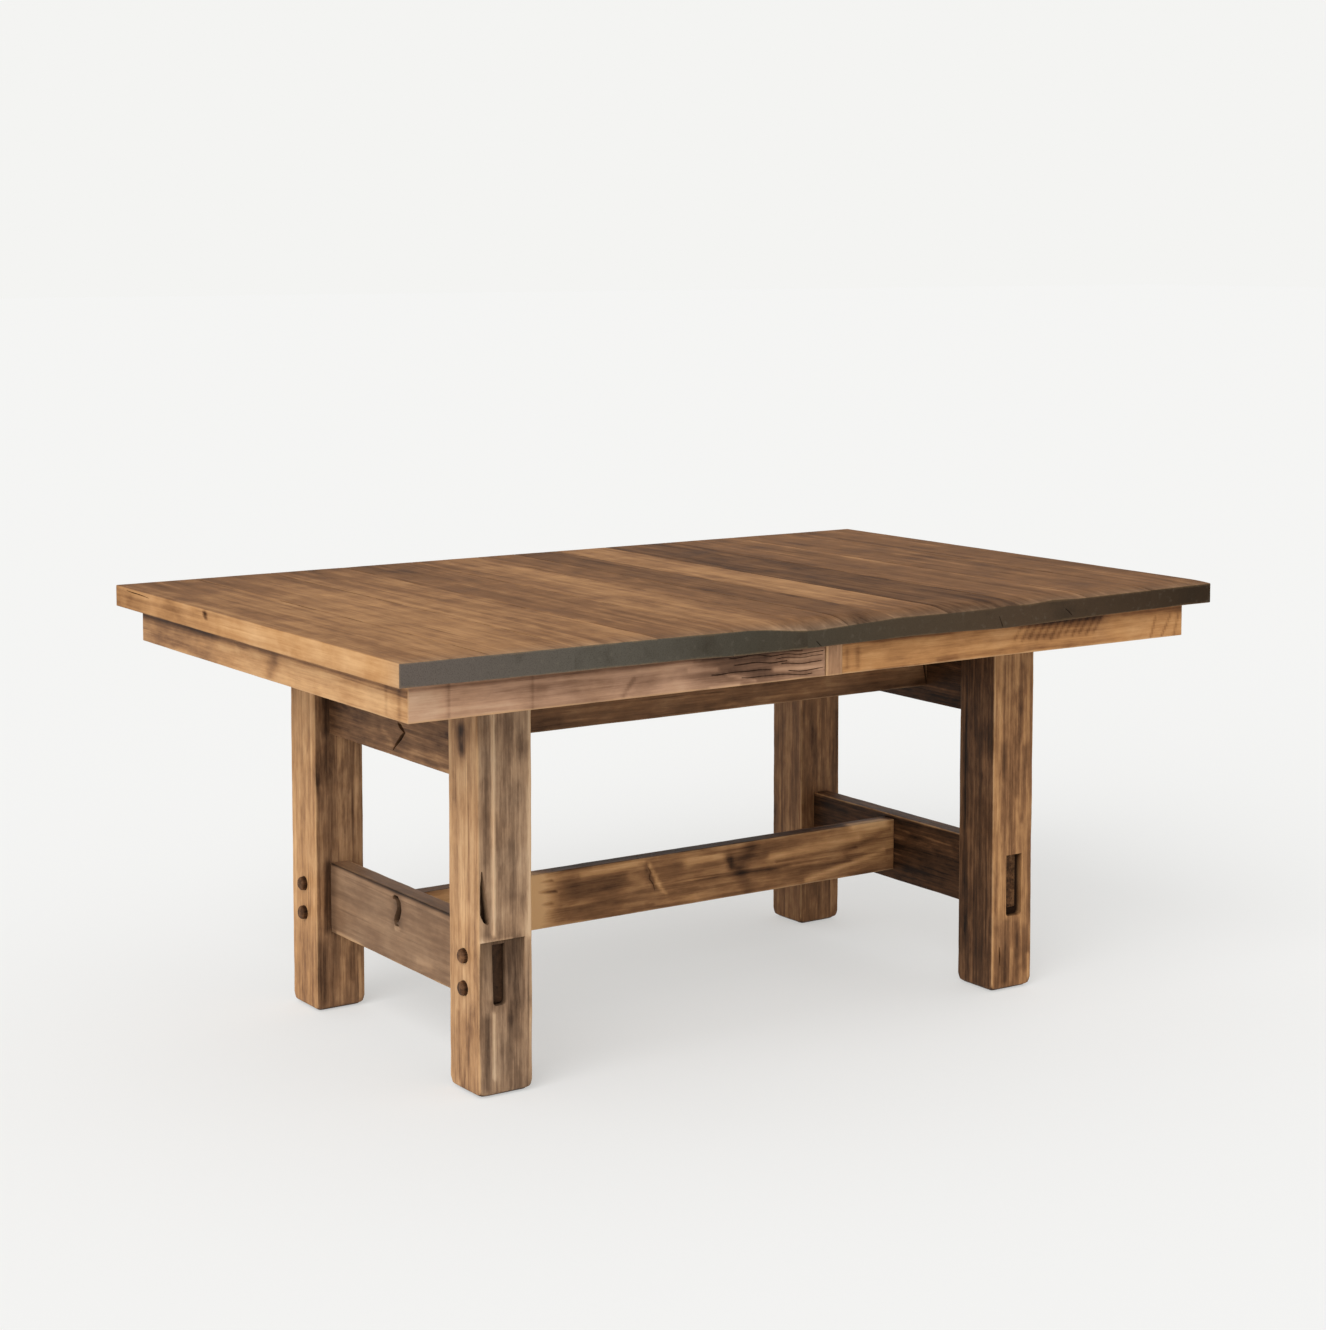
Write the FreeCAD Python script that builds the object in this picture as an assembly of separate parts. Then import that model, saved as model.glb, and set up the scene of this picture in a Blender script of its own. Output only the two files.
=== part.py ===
import FreeCAD
import Part

import math
import os

# A rustic trestle dining table that opens in the middle for spare leaves.
# The base stands still: two pegged end frames, a low centre stretcher and two long rails.
# Each half of the top carries its own apron and two runners, which slide on beams fixed to the base.
# A pinion between each pair of runners makes both halves travel the same distance.
# The frame is in millimetres: +X along the table, +Y to the back, +Z up.
# Its origin is on the floor below the middle of the top.

Vector = FreeCAD.Vector

# Driving sizes of the whole table
TABLE_HEIGHT = 762.0
TOP_LENGTH = 1680.0
TOP_WIDTH = 1080.0
SLAB_THICKNESS = 38.5
SLIDE_SPACE = 64.0
TOP_TRAVEL = 305.0

# Top boards, laid across the table, from the left end to the seam and from the seam to the right end
LEFT_BOARD_SHARES = (0.185, 0.180, 0.183, 0.176, 0.176, 0.100)
RIGHT_BOARD_SHARES = (0.115, 0.140, 0.192, 0.190, 0.183, 0.180)
SEAM_GAP = 0.6
SLAB_EASE = 2.0

# Aprons under the top and the batten that laps their seam
APRON_HEIGHT = 62.0
APRON_THICKNESS = 22.0
APRON_END_SETBACK = 34.5
APRON_SIDE_SETBACK = 37.5
BATTEN_WIDTH = 34.0
BATTEN_THICKNESS = 8.0
LAP_GAP = 3.0
LAP_CLEARANCE = 0.4
CORNER_BLOCK_LEG = 62.0
CORNER_BLOCK_HEIGHT = 42.0

# Legs
LEG_SIZE = 96.0
LEG_SPREAD_LONG = 1182.0
LEG_SPREAD_CROSS = 680.0
LEG_EASE = 3.0
FOOT_CHAMFER = 6.0

# End rails and end stretchers, tenoned into the legs
RAIL_THICKNESS = 36.0
RAIL_SETBACK = 29.0
STRETCHER_BOTTOM = 144.0
STRETCHER_HEIGHT = 127.0
UPPER_RAIL_HEIGHT = 156.0
RAIL_EASE = 2.0
TENON_THICKNESS = 26.0
TENON_FIT = 0.2
STRETCHER_TENON_TOP_SHOULDER = 20.0
STRETCHER_TENON_BOTTOM_SHOULDER = 7.0
STRETCHER_TENON_RECESS = 14.0
UPPER_TENON_LENGTH = 60.0
UPPER_TENON_SHOULDER = 16.0

# Pegs through the legs and the stretcher tenons
PEG_DIAMETER = 25.0
PEG_SIDES = 8
PEG_SPACING = 53.5
PEG_BITE = 15.0
PEG_PROUD = 4.0
PEG_CROWN = 4.0
PEG_TIP_DIAMETER = 15.0
PEG_FIT = 0.2

# Lengthwise members of the base
CENTRE_STRETCHER_THICKNESS = 32.0
CENTRE_STRETCHER_HEIGHT = 100.0
CENTRE_STRETCHER_BOTTOM = 164.0
LONG_RAIL_THICKNESS = 32.0
LONG_RAIL_HEIGHT = 116.0
STUB_TENON_LENGTH = 22.0
STUB_TENON_THICKNESS = 16.0
STUB_TENON_SHOULDER = 14.0
WOOD_UNDER_SCREW = 6.0

# Slides: one fixed beam with a runner on each side, in front and at the back
SLIDE_CENTRE_Y = 96.0
BEAM_THICKNESS = 30.0
BEAM_INSET = 16.0
BEAM_TOP_CLEARANCE = 3.0
RUNNER_THICKNESS = 28.0
RUNNER_LIFT = 2.0
RUNNER_RELIEF = 1.5
RUNNER_RELIEF_LEAD = 6.0
RUNNER_END_CLEARANCE = 35.0
RUNNING_GAP = 0.5
GUIDE_LEVEL_SHARE = 0.69
GUIDE_DEPTH = 8.0
GUIDE_MOUTH = 12.0
GUIDE_FLARE = 2.0
GUIDE_GAP = 0.4

# Rack and pinion that couple the two halves
GEAR_MODULE = 3.0
PINION_TEETH = 14
PRESSURE_ANGLE = 20.0
ADDENDUM_SHARE = 0.8
DEDENDUM_SHARE = 1.0
TOOTH_BACKLASH = 0.45
GEAR_LEVEL_SHARE = 0.22
RACK_HEIGHT = 12.0
RACK_BACKING = 4.0
RACK_LEAD_TEETH = 2
RACK_END_MARGIN = 15.0
PINION_THICKNESS = 10.0
PINION_GAP = 0.3
PINION_POCKET_GAP = 1.0
PIN_DIAMETER = 6.0
PIN_CLEARANCE = 0.05
PIN_HOLD = 12.0

# Wood screws of the runners and of the beams
SCREW_DIAMETER = 5.0
SCREW_SIDES = 8
SCREW_HEAD_DIAMETER = 9.5
SCREW_HEAD_HEIGHT = 3.0
SCREW_BITE = 20.0
SCREW_GRIP = 24.0
SCREW_FIT = 0.2
COUNTERBORE_DIAMETER = 10.5

# Dowels that line up the two halves
DOWEL_DIAMETER = 10.0
DOWEL_BITE = 25.0
DOWEL_REACH = 15.0
DOWEL_FIT = 0.3
DOWEL_WIDTH_SHARES = (-0.36, 0, 0.36)

# Turning locks under the seam
LOCK_OFFSET_SHARE = 0.28
LOCK_PIVOT_X = 32.0
LOCK_KEEPER_X = 32.0
LOCK_SWING_ANGLE = 80.0
LOCK_PLATE_LENGTH = 44.0
LOCK_PLATE_WIDTH = 30.0
LOCK_PLATE_THICKNESS = 2.5
LEVER_THICKNESS = 3.0
LEVER_WIDTH = 16.0
LEVER_HOOK = 12.0
LEVER_MOUTH_FLARE = 1.5
LEVER_TAIL = 34.0
LEVER_GAP = 0.3
LEVER_BORE_CLEARANCE = 0.08
RIVET_DIAMETER = 8.0
RIVET_HEAD_DIAMETER = 13.0
RIVET_HEAD_HEIGHT = 2.0
KEEPER_PIN_DIAMETER = 6.0
KEEPER_PIN_LENGTH = 6.0
KEEPER_SLOT_CLEARANCE = 1.0

# One overrun for every cut, and how nearly an edge has to follow an axis
OVERRUN = 1.0
ALONG_AXIS_SHARE = 0.999

# Places that follow from the driving sizes
half_length = TOP_LENGTH / 2
half_width = TOP_WIDTH / 2
half_seam = SEAM_GAP / 2
slab_bottom = TABLE_HEIGHT - SLAB_THICKNESS
slab_middle = TABLE_HEIGHT - SLAB_THICKNESS / 2
base_top = slab_bottom - SLIDE_SPACE
apron_bottom = slab_bottom - APRON_HEIGHT
apron_outer_x = half_length - APRON_END_SETBACK
apron_outer_y = half_width - APRON_SIDE_SETBACK
apron_inner_x = apron_outer_x - APRON_THICKNESS
apron_inner_y = apron_outer_y - APRON_THICKNESS

leg_outer_x = LEG_SPREAD_LONG / 2
leg_inner_x = leg_outer_x - LEG_SIZE
leg_outer_y = LEG_SPREAD_CROSS / 2
leg_inner_y = leg_outer_y - LEG_SIZE
leg_middle_y = leg_outer_y - LEG_SIZE / 2
rail_outer_x = leg_outer_x - RAIL_SETBACK
rail_inner_x = rail_outer_x - RAIL_THICKNESS
rail_middle_x = rail_outer_x - RAIL_THICKNESS / 2
tenon_inner_x = rail_outer_x - TENON_THICKNESS
stretcher_top = STRETCHER_BOTTOM + STRETCHER_HEIGHT
stretcher_tenon_bottom = STRETCHER_BOTTOM + STRETCHER_TENON_BOTTOM_SHOULDER
stretcher_tenon_top = stretcher_top - STRETCHER_TENON_TOP_SHOULDER
stretcher_tenon_end_y = leg_outer_y - STRETCHER_TENON_RECESS
upper_rail_bottom = base_top - UPPER_RAIL_HEIGHT
upper_tenon_bottom = upper_rail_bottom + UPPER_TENON_SHOULDER
upper_tenon_top = base_top - UPPER_TENON_SHOULDER
upper_tenon_end_y = leg_inner_y + UPPER_TENON_LENGTH
peg_middle_z = (stretcher_tenon_bottom + stretcher_tenon_top) / 2
peg_levels = (peg_middle_z - PEG_SPACING / 2, peg_middle_z + PEG_SPACING / 2)
peg_depth = RAIL_SETBACK + TENON_THICKNESS + PEG_BITE
peg_hole = PEG_DIAMETER + 2 * PEG_FIT
long_rail_bottom = base_top - LONG_RAIL_HEIGHT
long_rail_shoulder = SCREW_BITE + WOOD_UNDER_SCREW

beam_half = BEAM_THICKNESS / 2
beam_top = slab_bottom - BEAM_TOP_CLEARANCE
beam_end_x = leg_outer_x - BEAM_INSET
guide_z = base_top + SLIDE_SPACE * GUIDE_LEVEL_SHARE
gear_z = base_top + SLIDE_SPACE * GEAR_LEVEL_SHARE
pitch_radius = GEAR_MODULE * PINION_TEETH / 2
tooth_pitch = math.pi * GEAR_MODULE
addendum = GEAR_MODULE * ADDENDUM_SHARE
dedendum = GEAR_MODULE * DEDENDUM_SHARE
tip_radius = pitch_radius + addendum
root_radius = pitch_radius - dedendum
tooth_half = (tooth_pitch / 2 - TOOTH_BACKLASH) / 2
rack_last_tooth = math.ceil(TOP_TRAVEL / tooth_pitch) + RACK_LEAD_TEETH
rack_start_x = -RACK_LEAD_TEETH * tooth_pitch - tooth_pitch / 2
rack_end_x = rack_last_tooth * tooth_pitch + tooth_pitch / 2
rack_tip_u = pitch_radius - addendum
rack_root_u = pitch_radius + dedendum
rack_back_u = rack_root_u + RACK_BACKING
runner_inner_u = beam_half + RUNNING_GAP
runner_outer_u = runner_inner_u + RUNNER_THICKNESS
runner_screw_u = (rack_back_u + runner_outer_u) / 2
runner_bottom = base_top + RUNNER_LIFT
screw_hole = SCREW_DIAMETER + 2 * SCREW_FIT
runner_tail_x = apron_inner_x - RUNNER_END_CLEARANCE
runner_nose_x = rack_end_x + RACK_END_MARGIN

lock_y = TOP_WIDTH * LOCK_OFFSET_SHARE
lock_reach = LOCK_PIVOT_X + LOCK_KEEPER_X
lever_top = slab_bottom - LOCK_PLATE_THICKNESS - LEVER_GAP
lever_bottom = lever_top - LEVER_THICKNESS

X_AXIS = Vector(1, 0, 0)
Y_AXIS = Vector(0, 1, 0)
Z_AXIS = Vector(0, 0, 1)
ORIGIN = Vector(0, 0, 0)


# Shared shapes
def box(x0, x1, y0, y1, z0, z1):
    """A block between two corners, given in any order."""
    low = Vector(min(x0, x1), min(y0, y1), min(z0, z1))
    return Part.makeBox(abs(x1 - x0), abs(y1 - y0), abs(z1 - z0), low)


def rod(radius, length, start, direction):
    """A round bar from a start point along a direction."""
    return Part.makeCylinder(radius, length, start, direction)


def prism(points, travel):
    """A straight-sided solid: a closed outline moved along a vector."""
    outline = Part.makePolygon(points + points[:1])
    return Part.Face(outline).extrude(travel)


def ring_of_corners(middle, diameter, sides, first_axis, second_axis):
    """The corners of an even many-sided outline about a middle point."""
    corners = []
    for side in range(sides):
        angle = 2 * math.pi * side / sides
        spoke = first_axis * math.cos(angle) + second_axis * math.sin(angle)
        corners.append(middle + spoke * (diameter / 2))
    return corners


def screw_bar(diameter, length, start, direction):
    """A slim upright bar or hole of a screw, many-sided to keep the repeated screws light."""
    return prism(ring_of_corners(start, diameter, SCREW_SIDES, X_AXIS, Y_AXIS), direction * length)


def peg_bar(diameter, length, start):
    """A whittled peg's flat-sided shank along the table, or the hole that it is driven into."""
    return prism(ring_of_corners(start, diameter, PEG_SIDES, Y_AXIS, Z_AXIS), X_AXIS * length)


def edges_along(shape, axis):
    """The straight edges of a shape that run along an axis."""
    found = []
    for edge in shape.Edges:
        first, last = edge.Vertexes[0].Point, edge.Vertexes[-1].Point
        span = last.sub(first)
        if span.Length > 0 and abs(span.dot(axis)) > ALONG_AXIS_SHARE * span.Length:
            found.append(edge)
    return found


def eased(shape, size, axis):
    """A board with its long arrises taken off."""
    return shape.makeChamfer(size, edges_along(shape, axis))


def mirror_x(shape):
    return shape.mirror(ORIGIN, X_AXIS)


def mirror_y(shape):
    return shape.mirror(ORIGIN, Y_AXIS)


def save(name, *solids):
    """Writes one node: a single solid, or a group of like solids."""
    shape = solids[0] if len(solids) == 1 else Part.makeCompound(list(solids))
    shape.exportStep(os.path.join("parts", name + ".step"))


# Legs
def front_left_leg():
    """A square post: eased uprights, a chamfered foot, two mortises and two peg holes."""
    post = box(-leg_outer_x, -leg_inner_x, -leg_outer_y, -leg_inner_y, 0, base_top)
    foot = [edge for edge in post.Edges if edge.BoundBox.ZMax < FOOT_CHAMFER]
    post = post.makeChamfer(FOOT_CHAMFER, foot)
    post = eased(post, LEG_EASE, Z_AXIS)
    through_mortise = box(
        -rail_outer_x - TENON_FIT, -tenon_inner_x + TENON_FIT,
        -leg_outer_y - OVERRUN, -leg_inner_y + OVERRUN,
        stretcher_tenon_bottom - TENON_FIT, stretcher_tenon_top + TENON_FIT,
    )
    blind_mortise = box(
        -rail_outer_x - TENON_FIT, -tenon_inner_x + TENON_FIT,
        -upper_tenon_end_y - TENON_FIT, -leg_inner_y + OVERRUN,
        upper_tenon_bottom - TENON_FIT, upper_tenon_top + TENON_FIT,
    )
    post = post.cut(through_mortise).cut(blind_mortise)
    for level in peg_levels:
        mouth = Vector(-leg_outer_x - OVERRUN, -leg_middle_y, level)
        post = post.cut(peg_bar(peg_hole, peg_depth + PEG_FIT + OVERRUN, mouth))
    return post


def left_peg(level):
    """A whittled peg with flat sides and a tapered crown that stands proud of the leg's end face."""
    neck = Vector(-leg_outer_x - PEG_PROUD, -leg_middle_y, level)
    tip = neck - X_AXIS * PEG_CROWN
    sections = []
    for middle, diameter in ((neck, PEG_DIAMETER), (tip, PEG_TIP_DIAMETER)):
        corners = ring_of_corners(middle, diameter, PEG_SIDES, Y_AXIS, Z_AXIS)
        sections.append(Part.makePolygon(corners + corners[:1]))
    crown = Part.makeLoft(sections, True, True)
    shank = peg_bar(PEG_DIAMETER, PEG_PROUD + peg_depth, neck)
    return shank.fuse(crown).removeSplitter()


# End frames
def left_end_stretcher():
    """A low board between the legs of one end, with a through tenon at each end."""
    board = box(-rail_outer_x, -rail_inner_x, -leg_inner_y, leg_inner_y, STRETCHER_BOTTOM, stretcher_top)
    board = eased(board, RAIL_EASE, Y_AXIS)
    tenons = box(
        -rail_outer_x, -tenon_inner_x,
        -stretcher_tenon_end_y, stretcher_tenon_end_y,
        stretcher_tenon_bottom, stretcher_tenon_top,
    )
    board = board.fuse(tenons).removeSplitter()
    for level in peg_levels:
        for side in (-1, 1):
            start = Vector(-rail_outer_x - OVERRUN, side * leg_middle_y, level)
            length = TENON_THICKNESS + 2 * OVERRUN
            board = board.cut(peg_bar(peg_hole, length, start))
    return board.cut(stub_mortise(0, CENTRE_STRETCHER_BOTTOM, CENTRE_STRETCHER_HEIGHT, STUB_TENON_SHOULDER))


def left_upper_rail():
    """A deep board across the top of one end frame, which carries the slide beams."""
    board = box(-rail_outer_x, -rail_inner_x, -leg_inner_y, leg_inner_y, upper_rail_bottom, base_top)
    board = eased(board, RAIL_EASE, Y_AXIS)
    tenons = box(
        -rail_outer_x, -tenon_inner_x,
        -upper_tenon_end_y, upper_tenon_end_y,
        upper_tenon_bottom, upper_tenon_top,
    )
    board = board.fuse(tenons).removeSplitter()
    for side in (-1, 1):
        middle_y = side * SLIDE_CENTRE_Y
        board = board.cut(stub_mortise(middle_y, long_rail_bottom, LONG_RAIL_HEIGHT, long_rail_shoulder))
        mouth = Vector(-rail_middle_x, middle_y, base_top + OVERRUN)
        depth = SCREW_BITE + SCREW_FIT + OVERRUN
        board = board.cut(screw_bar(screw_hole, depth, mouth, -Z_AXIS))
    return board


# Lengthwise members
def stub_mortise(middle_y, bottom, height, shoulder):
    """The blind slot in an end member that takes a lengthwise member's stub tenon."""
    half = STUB_TENON_THICKNESS / 2 + TENON_FIT
    return box(
        -rail_inner_x - STUB_TENON_LENGTH - TENON_FIT, -rail_inner_x + OVERRUN,
        middle_y - half, middle_y + half,
        bottom + shoulder - TENON_FIT, bottom + height - shoulder + TENON_FIT,
    )


def lengthwise_member(middle_y, thickness, bottom, height, shoulder):
    """A board on edge between the two end frames, with a stub tenon at each end."""
    half = thickness / 2
    board = box(-rail_inner_x, rail_inner_x, middle_y - half, middle_y + half, bottom, bottom + height)
    board = eased(board, RAIL_EASE, X_AXIS)
    reach = rail_inner_x + STUB_TENON_LENGTH
    tenon_half = STUB_TENON_THICKNESS / 2
    tenons = box(
        -reach, reach,
        middle_y - tenon_half, middle_y + tenon_half,
        bottom + shoulder, bottom + height - shoulder,
    )
    return board.fuse(tenons).removeSplitter()


# Slides
# A slide is drawn for the front: u runs from the beam's middle plane towards a runner,
# and the left half's runner lies in front of the beam, the right half's behind it.
def slide_y(half, u):
    """The place across the table of a distance u from the front beam's middle plane."""
    return -SLIDE_CENTRE_Y + half * u


def guide_half(u):
    """Half the height of the dovetail groove at a distance u from the beam's middle plane."""
    return GUIDE_MOUTH / 2 + (beam_half - u) * GUIDE_FLARE / GUIDE_DEPTH


def front_beam():
    """The fixed beam of one slide: a dovetail groove on each side and a pocket for the pinion."""
    beam = box(
        -beam_end_x, beam_end_x,
        slide_y(-1, beam_half), slide_y(1, beam_half),
        base_top, beam_top,
    )
    for half in (-1, 1):
        floor_u = beam_half - GUIDE_DEPTH
        mouth_u = beam_half + OVERRUN
        start_x = -beam_end_x - OVERRUN
        groove = prism(
            [
                Vector(start_x, slide_y(half, floor_u), guide_z - guide_half(floor_u)),
                Vector(start_x, slide_y(half, mouth_u), guide_z - guide_half(mouth_u)),
                Vector(start_x, slide_y(half, mouth_u), guide_z + guide_half(mouth_u)),
                Vector(start_x, slide_y(half, floor_u), guide_z + guide_half(floor_u)),
            ],
            X_AXIS * (2 * (beam_end_x + OVERRUN)),
        )
        beam = beam.cut(groove)
    pocket_height = PINION_THICKNESS + 2 * PINION_GAP
    pocket_floor = Vector(0, -SLIDE_CENTRE_Y, gear_z - pocket_height / 2)
    beam = beam.cut(rod(tip_radius + PINION_POCKET_GAP, pocket_height, pocket_floor, Z_AXIS))
    pin_mouth = Vector(0, -SLIDE_CENTRE_Y, base_top - OVERRUN)
    beam = beam.cut(rod(PIN_DIAMETER / 2, pin_length() + OVERRUN, pin_mouth, Z_AXIS))
    for side in (-1, 1):
        seat = Vector(side * rail_middle_x, -SLIDE_CENTRE_Y, base_top + SCREW_GRIP)
        beam = beam.cut(screw_bar(COUNTERBORE_DIAMETER, beam_top - seat.z + OVERRUN, seat, Z_AXIS))
        beam = beam.cut(screw_bar(screw_hole, SCREW_GRIP + OVERRUN, seat, -Z_AXIS))
    return beam


def pin_length():
    """The pinion's pin reaches from the beam's foot to above the pinion's pocket."""
    return gear_z - base_top + PINION_THICKNESS / 2 + PIN_HOLD


def front_pin():
    return rod(PIN_DIAMETER / 2, pin_length(), Vector(0, -SLIDE_CENTRE_Y, base_top), Z_AXIS)


def front_runner(half, screw_places):
    """One half's runner (-1 left, 1 right): a dovetail tongue, a groove for the rack and screw holes."""
    tail_x = half * runner_tail_x
    nose_x = -half * runner_nose_x
    runner = box(
        tail_x, nose_x,
        slide_y(half, runner_inner_u), slide_y(half, runner_outer_u),
        runner_bottom, slab_bottom,
    )
    tip_u = beam_half - GUIDE_DEPTH + RUNNING_GAP
    root_u = runner_inner_u
    tongue = prism(
        [
            Vector(tail_x, slide_y(half, tip_u), guide_z - guide_half(tip_u) + GUIDE_GAP),
            Vector(tail_x, slide_y(half, root_u), guide_z - guide_half(root_u) + GUIDE_GAP),
            Vector(tail_x, slide_y(half, root_u), guide_z + guide_half(root_u) - GUIDE_GAP),
            Vector(tail_x, slide_y(half, tip_u), guide_z + guide_half(tip_u) - GUIDE_GAP),
        ],
        X_AXIS * (nose_x - tail_x),
    )
    runner = runner.fuse(tongue).removeSplitter()
    rack_groove = box(
        -half * rack_start_x, -half * rack_end_x,
        slide_y(half, runner_inner_u - OVERRUN), slide_y(half, rack_back_u),
        gear_z - RACK_HEIGHT / 2, gear_z + RACK_HEIGHT / 2,
    )
    relief = box(
        half * RUNNER_RELIEF_LEAD, nose_x - half * OVERRUN,
        slide_y(half, runner_inner_u - OVERRUN), slide_y(half, runner_outer_u + OVERRUN),
        slab_bottom - RUNNER_RELIEF, slab_bottom + OVERRUN,
    )
    runner = runner.cut(rack_groove).cut(relief)
    for place_x in screw_places:
        seat = Vector(place_x, slide_y(half, runner_screw_u), slab_bottom - SCREW_GRIP)
        depth = seat.z - runner_bottom + OVERRUN
        runner = runner.cut(screw_bar(COUNTERBORE_DIAMETER, depth, seat, -Z_AXIS))
        runner = runner.cut(screw_bar(screw_hole, SCREW_GRIP + OVERRUN, seat, Z_AXIS))
    return runner


def front_rack(half):
    """A toothed strip let into the runner, with a tooth centred on the pinion when the table is shut."""
    flank = math.tan(math.radians(PRESSURE_ANGLE))
    tip_half = tooth_half - addendum * flank
    root_half = tooth_half + dedendum * flank
    outline = [(rack_start_x, rack_back_u), (rack_start_x, rack_root_u)]
    for tooth in range(-RACK_LEAD_TEETH, rack_last_tooth + 1):
        middle_x = tooth * tooth_pitch
        outline.append((middle_x - root_half, rack_root_u))
        outline.append((middle_x - tip_half, rack_tip_u))
        outline.append((middle_x + tip_half, rack_tip_u))
        outline.append((middle_x + root_half, rack_root_u))
    outline += [(rack_end_x, rack_root_u), (rack_end_x, rack_back_u)]
    foot_z = gear_z - RACK_HEIGHT / 2
    points = [Vector(-half * x, slide_y(half, u), foot_z) for x, u in outline]
    return prism(points, Z_AXIS * RACK_HEIGHT)


def involute_flank(side, middle_angle):
    """One flank of a pinion tooth, root to tip, on the left (1) or the right (-1) of the tooth."""
    pressure = math.radians(PRESSURE_ANGLE)
    base_radius = pitch_radius * math.cos(pressure)
    base_angle = tooth_half / pitch_radius + math.tan(pressure) - pressure
    tip_roll = math.sqrt((tip_radius / base_radius) ** 2 - 1)
    points = []
    for roll in (0, tip_roll / 2, tip_roll):
        radius = base_radius * math.sqrt(1 + roll * roll)
        angle = middle_angle + side * (base_angle - (roll - math.atan(roll)))
        points.append(Vector(radius * math.cos(angle), radius * math.sin(angle), 0))
    root_angle = middle_angle + side * base_angle
    root = Vector(root_radius * math.cos(root_angle), root_radius * math.sin(root_angle), 0)
    foot = Part.LineSegment(root, points[0]).toShape()
    return foot, Part.Arc(*points).toShape(), root, points[-1]


def arc_between(first, last, middle_angle, radius):
    """An arc about the pinion's axis through the point at middle_angle."""
    through = Vector(radius * math.cos(middle_angle), radius * math.sin(middle_angle), 0)
    return Part.Arc(first, through, last).toShape()


def front_pinion():
    """A spur pinion with a tooth space facing each rack when the table is shut."""
    step = 2 * math.pi / PINION_TEETH
    first_angle = math.pi / 2 + step / 2
    edges = []
    first_root = None
    last_root = None
    for tooth in range(PINION_TEETH):
        middle = first_angle + tooth * step
        foot_in, rise, root_in, tip_in = involute_flank(-1, middle)
        foot_out, fall, root_out, tip_out = involute_flank(1, middle)
        if last_root is None:
            first_root = root_in
        else:
            edges.append(arc_between(last_root, root_in, middle - step / 2, root_radius))
        edges += [foot_in, rise, arc_between(tip_in, tip_out, middle, tip_radius), fall, foot_out]
        last_root = root_out
    edges.append(arc_between(last_root, first_root, first_angle - step / 2, root_radius))
    outline = Part.Wire(Part.__sortEdges__(edges))
    gear = Part.Face(outline).extrude(Z_AXIS * PINION_THICKNESS)
    bore_length = PINION_THICKNESS + 2 * OVERRUN
    gear = gear.cut(rod(PIN_DIAMETER / 2 + PIN_CLEARANCE, bore_length, Vector(0, 0, -OVERRUN), Z_AXIS))
    gear.translate(Vector(0, -SLIDE_CENTRE_Y, gear_z - PINION_THICKNESS / 2))
    return gear


# Screws
def screw(seat, direction):
    """A wood screw whose head sits at the seat and whose shank points along a direction."""
    shank = screw_bar(SCREW_DIAMETER, SCREW_GRIP + SCREW_BITE, seat, direction)
    head = screw_bar(SCREW_HEAD_DIAMETER, SCREW_HEAD_HEIGHT, seat, -direction)
    return shank.fuse(head)


def beam_screws():
    """The screws that hold the two beams down on the upper end rails."""
    made = []
    for side_x in (-1, 1):
        for side_y in (-1, 1):
            seat = Vector(side_x * rail_middle_x, side_y * SLIDE_CENTRE_Y, base_top + SCREW_GRIP)
            made.append(screw(seat, -Z_AXIS))
    return made


def runner_screws(half, screw_places):
    """The screws that hold one half's runners up against its boards."""
    made = []
    for place_x in screw_places:
        for mirrored in (1, -1):
            seat = Vector(place_x, mirrored * slide_y(half, runner_screw_u), slab_bottom - SCREW_GRIP)
            made.append(screw(seat, Z_AXIS))
    return made


# Top boards
def board_edges(half):
    """The joints between the boards of one half, from its outer end to the seam or back."""
    shares = LEFT_BOARD_SHARES if half < 0 else RIGHT_BOARD_SHARES
    length = half_length - half_seam
    edges = [-half_length if half < 0 else half_seam]
    for share in shares:
        edges.append(edges[-1] + length * share / sum(shares))
    return edges


def screw_places_of(half):
    """Where one half's runner screws go: the middle of alternate boards, from the outer end."""
    edges = board_edges(half)
    middles = [(first + last) / 2 for first, last in zip(edges, edges[1:])]
    if half > 0:
        middles.reverse()
    return middles[::2]


def top_boards(half):
    """The crosswise boards of one half, with eased top arrises, dowel holes and screw holes."""
    edges = board_edges(half)
    boards = []
    for first, last in zip(edges, edges[1:]):
        board = box(first, last, -half_width, half_width, slab_bottom, TABLE_HEIGHT)
        arrises = edges_along(board, X_AXIS)
        for edge in edges_along(board, Y_AXIS):
            if half * edge.BoundBox.Center.x > half_length - OVERRUN:
                arrises.append(edge)
        upper = [edge for edge in arrises if edge.BoundBox.ZMin > slab_middle]
        boards.append(board.makeChamfer(SLAB_EASE, upper))
    seam_board = len(boards) - 1 if half < 0 else 0
    for share in DOWEL_WIDTH_SHARES:
        if half < 0:
            radius, depth = DOWEL_DIAMETER / 2, DOWEL_BITE
        else:
            radius, depth = DOWEL_DIAMETER / 2 + DOWEL_FIT, DOWEL_REACH + DOWEL_FIT
        mouth = Vector(0, share * TOP_WIDTH, slab_middle)
        hole = rod(radius, depth + half_seam, mouth, X_AXIS * half)
        boards[seam_board] = boards[seam_board].cut(hole)
    for place_x in screw_places_of(half):
        for index, (first, last) in enumerate(zip(edges, edges[1:])):
            if not first < place_x < last:
                continue
            for mirrored in (1, -1):
                mouth = Vector(place_x, mirrored * slide_y(half, runner_screw_u), slab_bottom - OVERRUN)
                depth = SCREW_BITE + SCREW_FIT + OVERRUN
                boards[index] = boards[index].cut(screw_bar(screw_hole, depth, mouth, Z_AXIS))
    return boards


def alignment_dowel(share):
    """A dowel fixed in the left half's seam edge, which enters the right half's hole."""
    length = DOWEL_BITE + half_seam + DOWEL_REACH
    start = Vector(-DOWEL_BITE - half_seam, share * TOP_WIDTH, slab_middle)
    return rod(DOWEL_DIAMETER / 2, length, start, X_AXIS)


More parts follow.
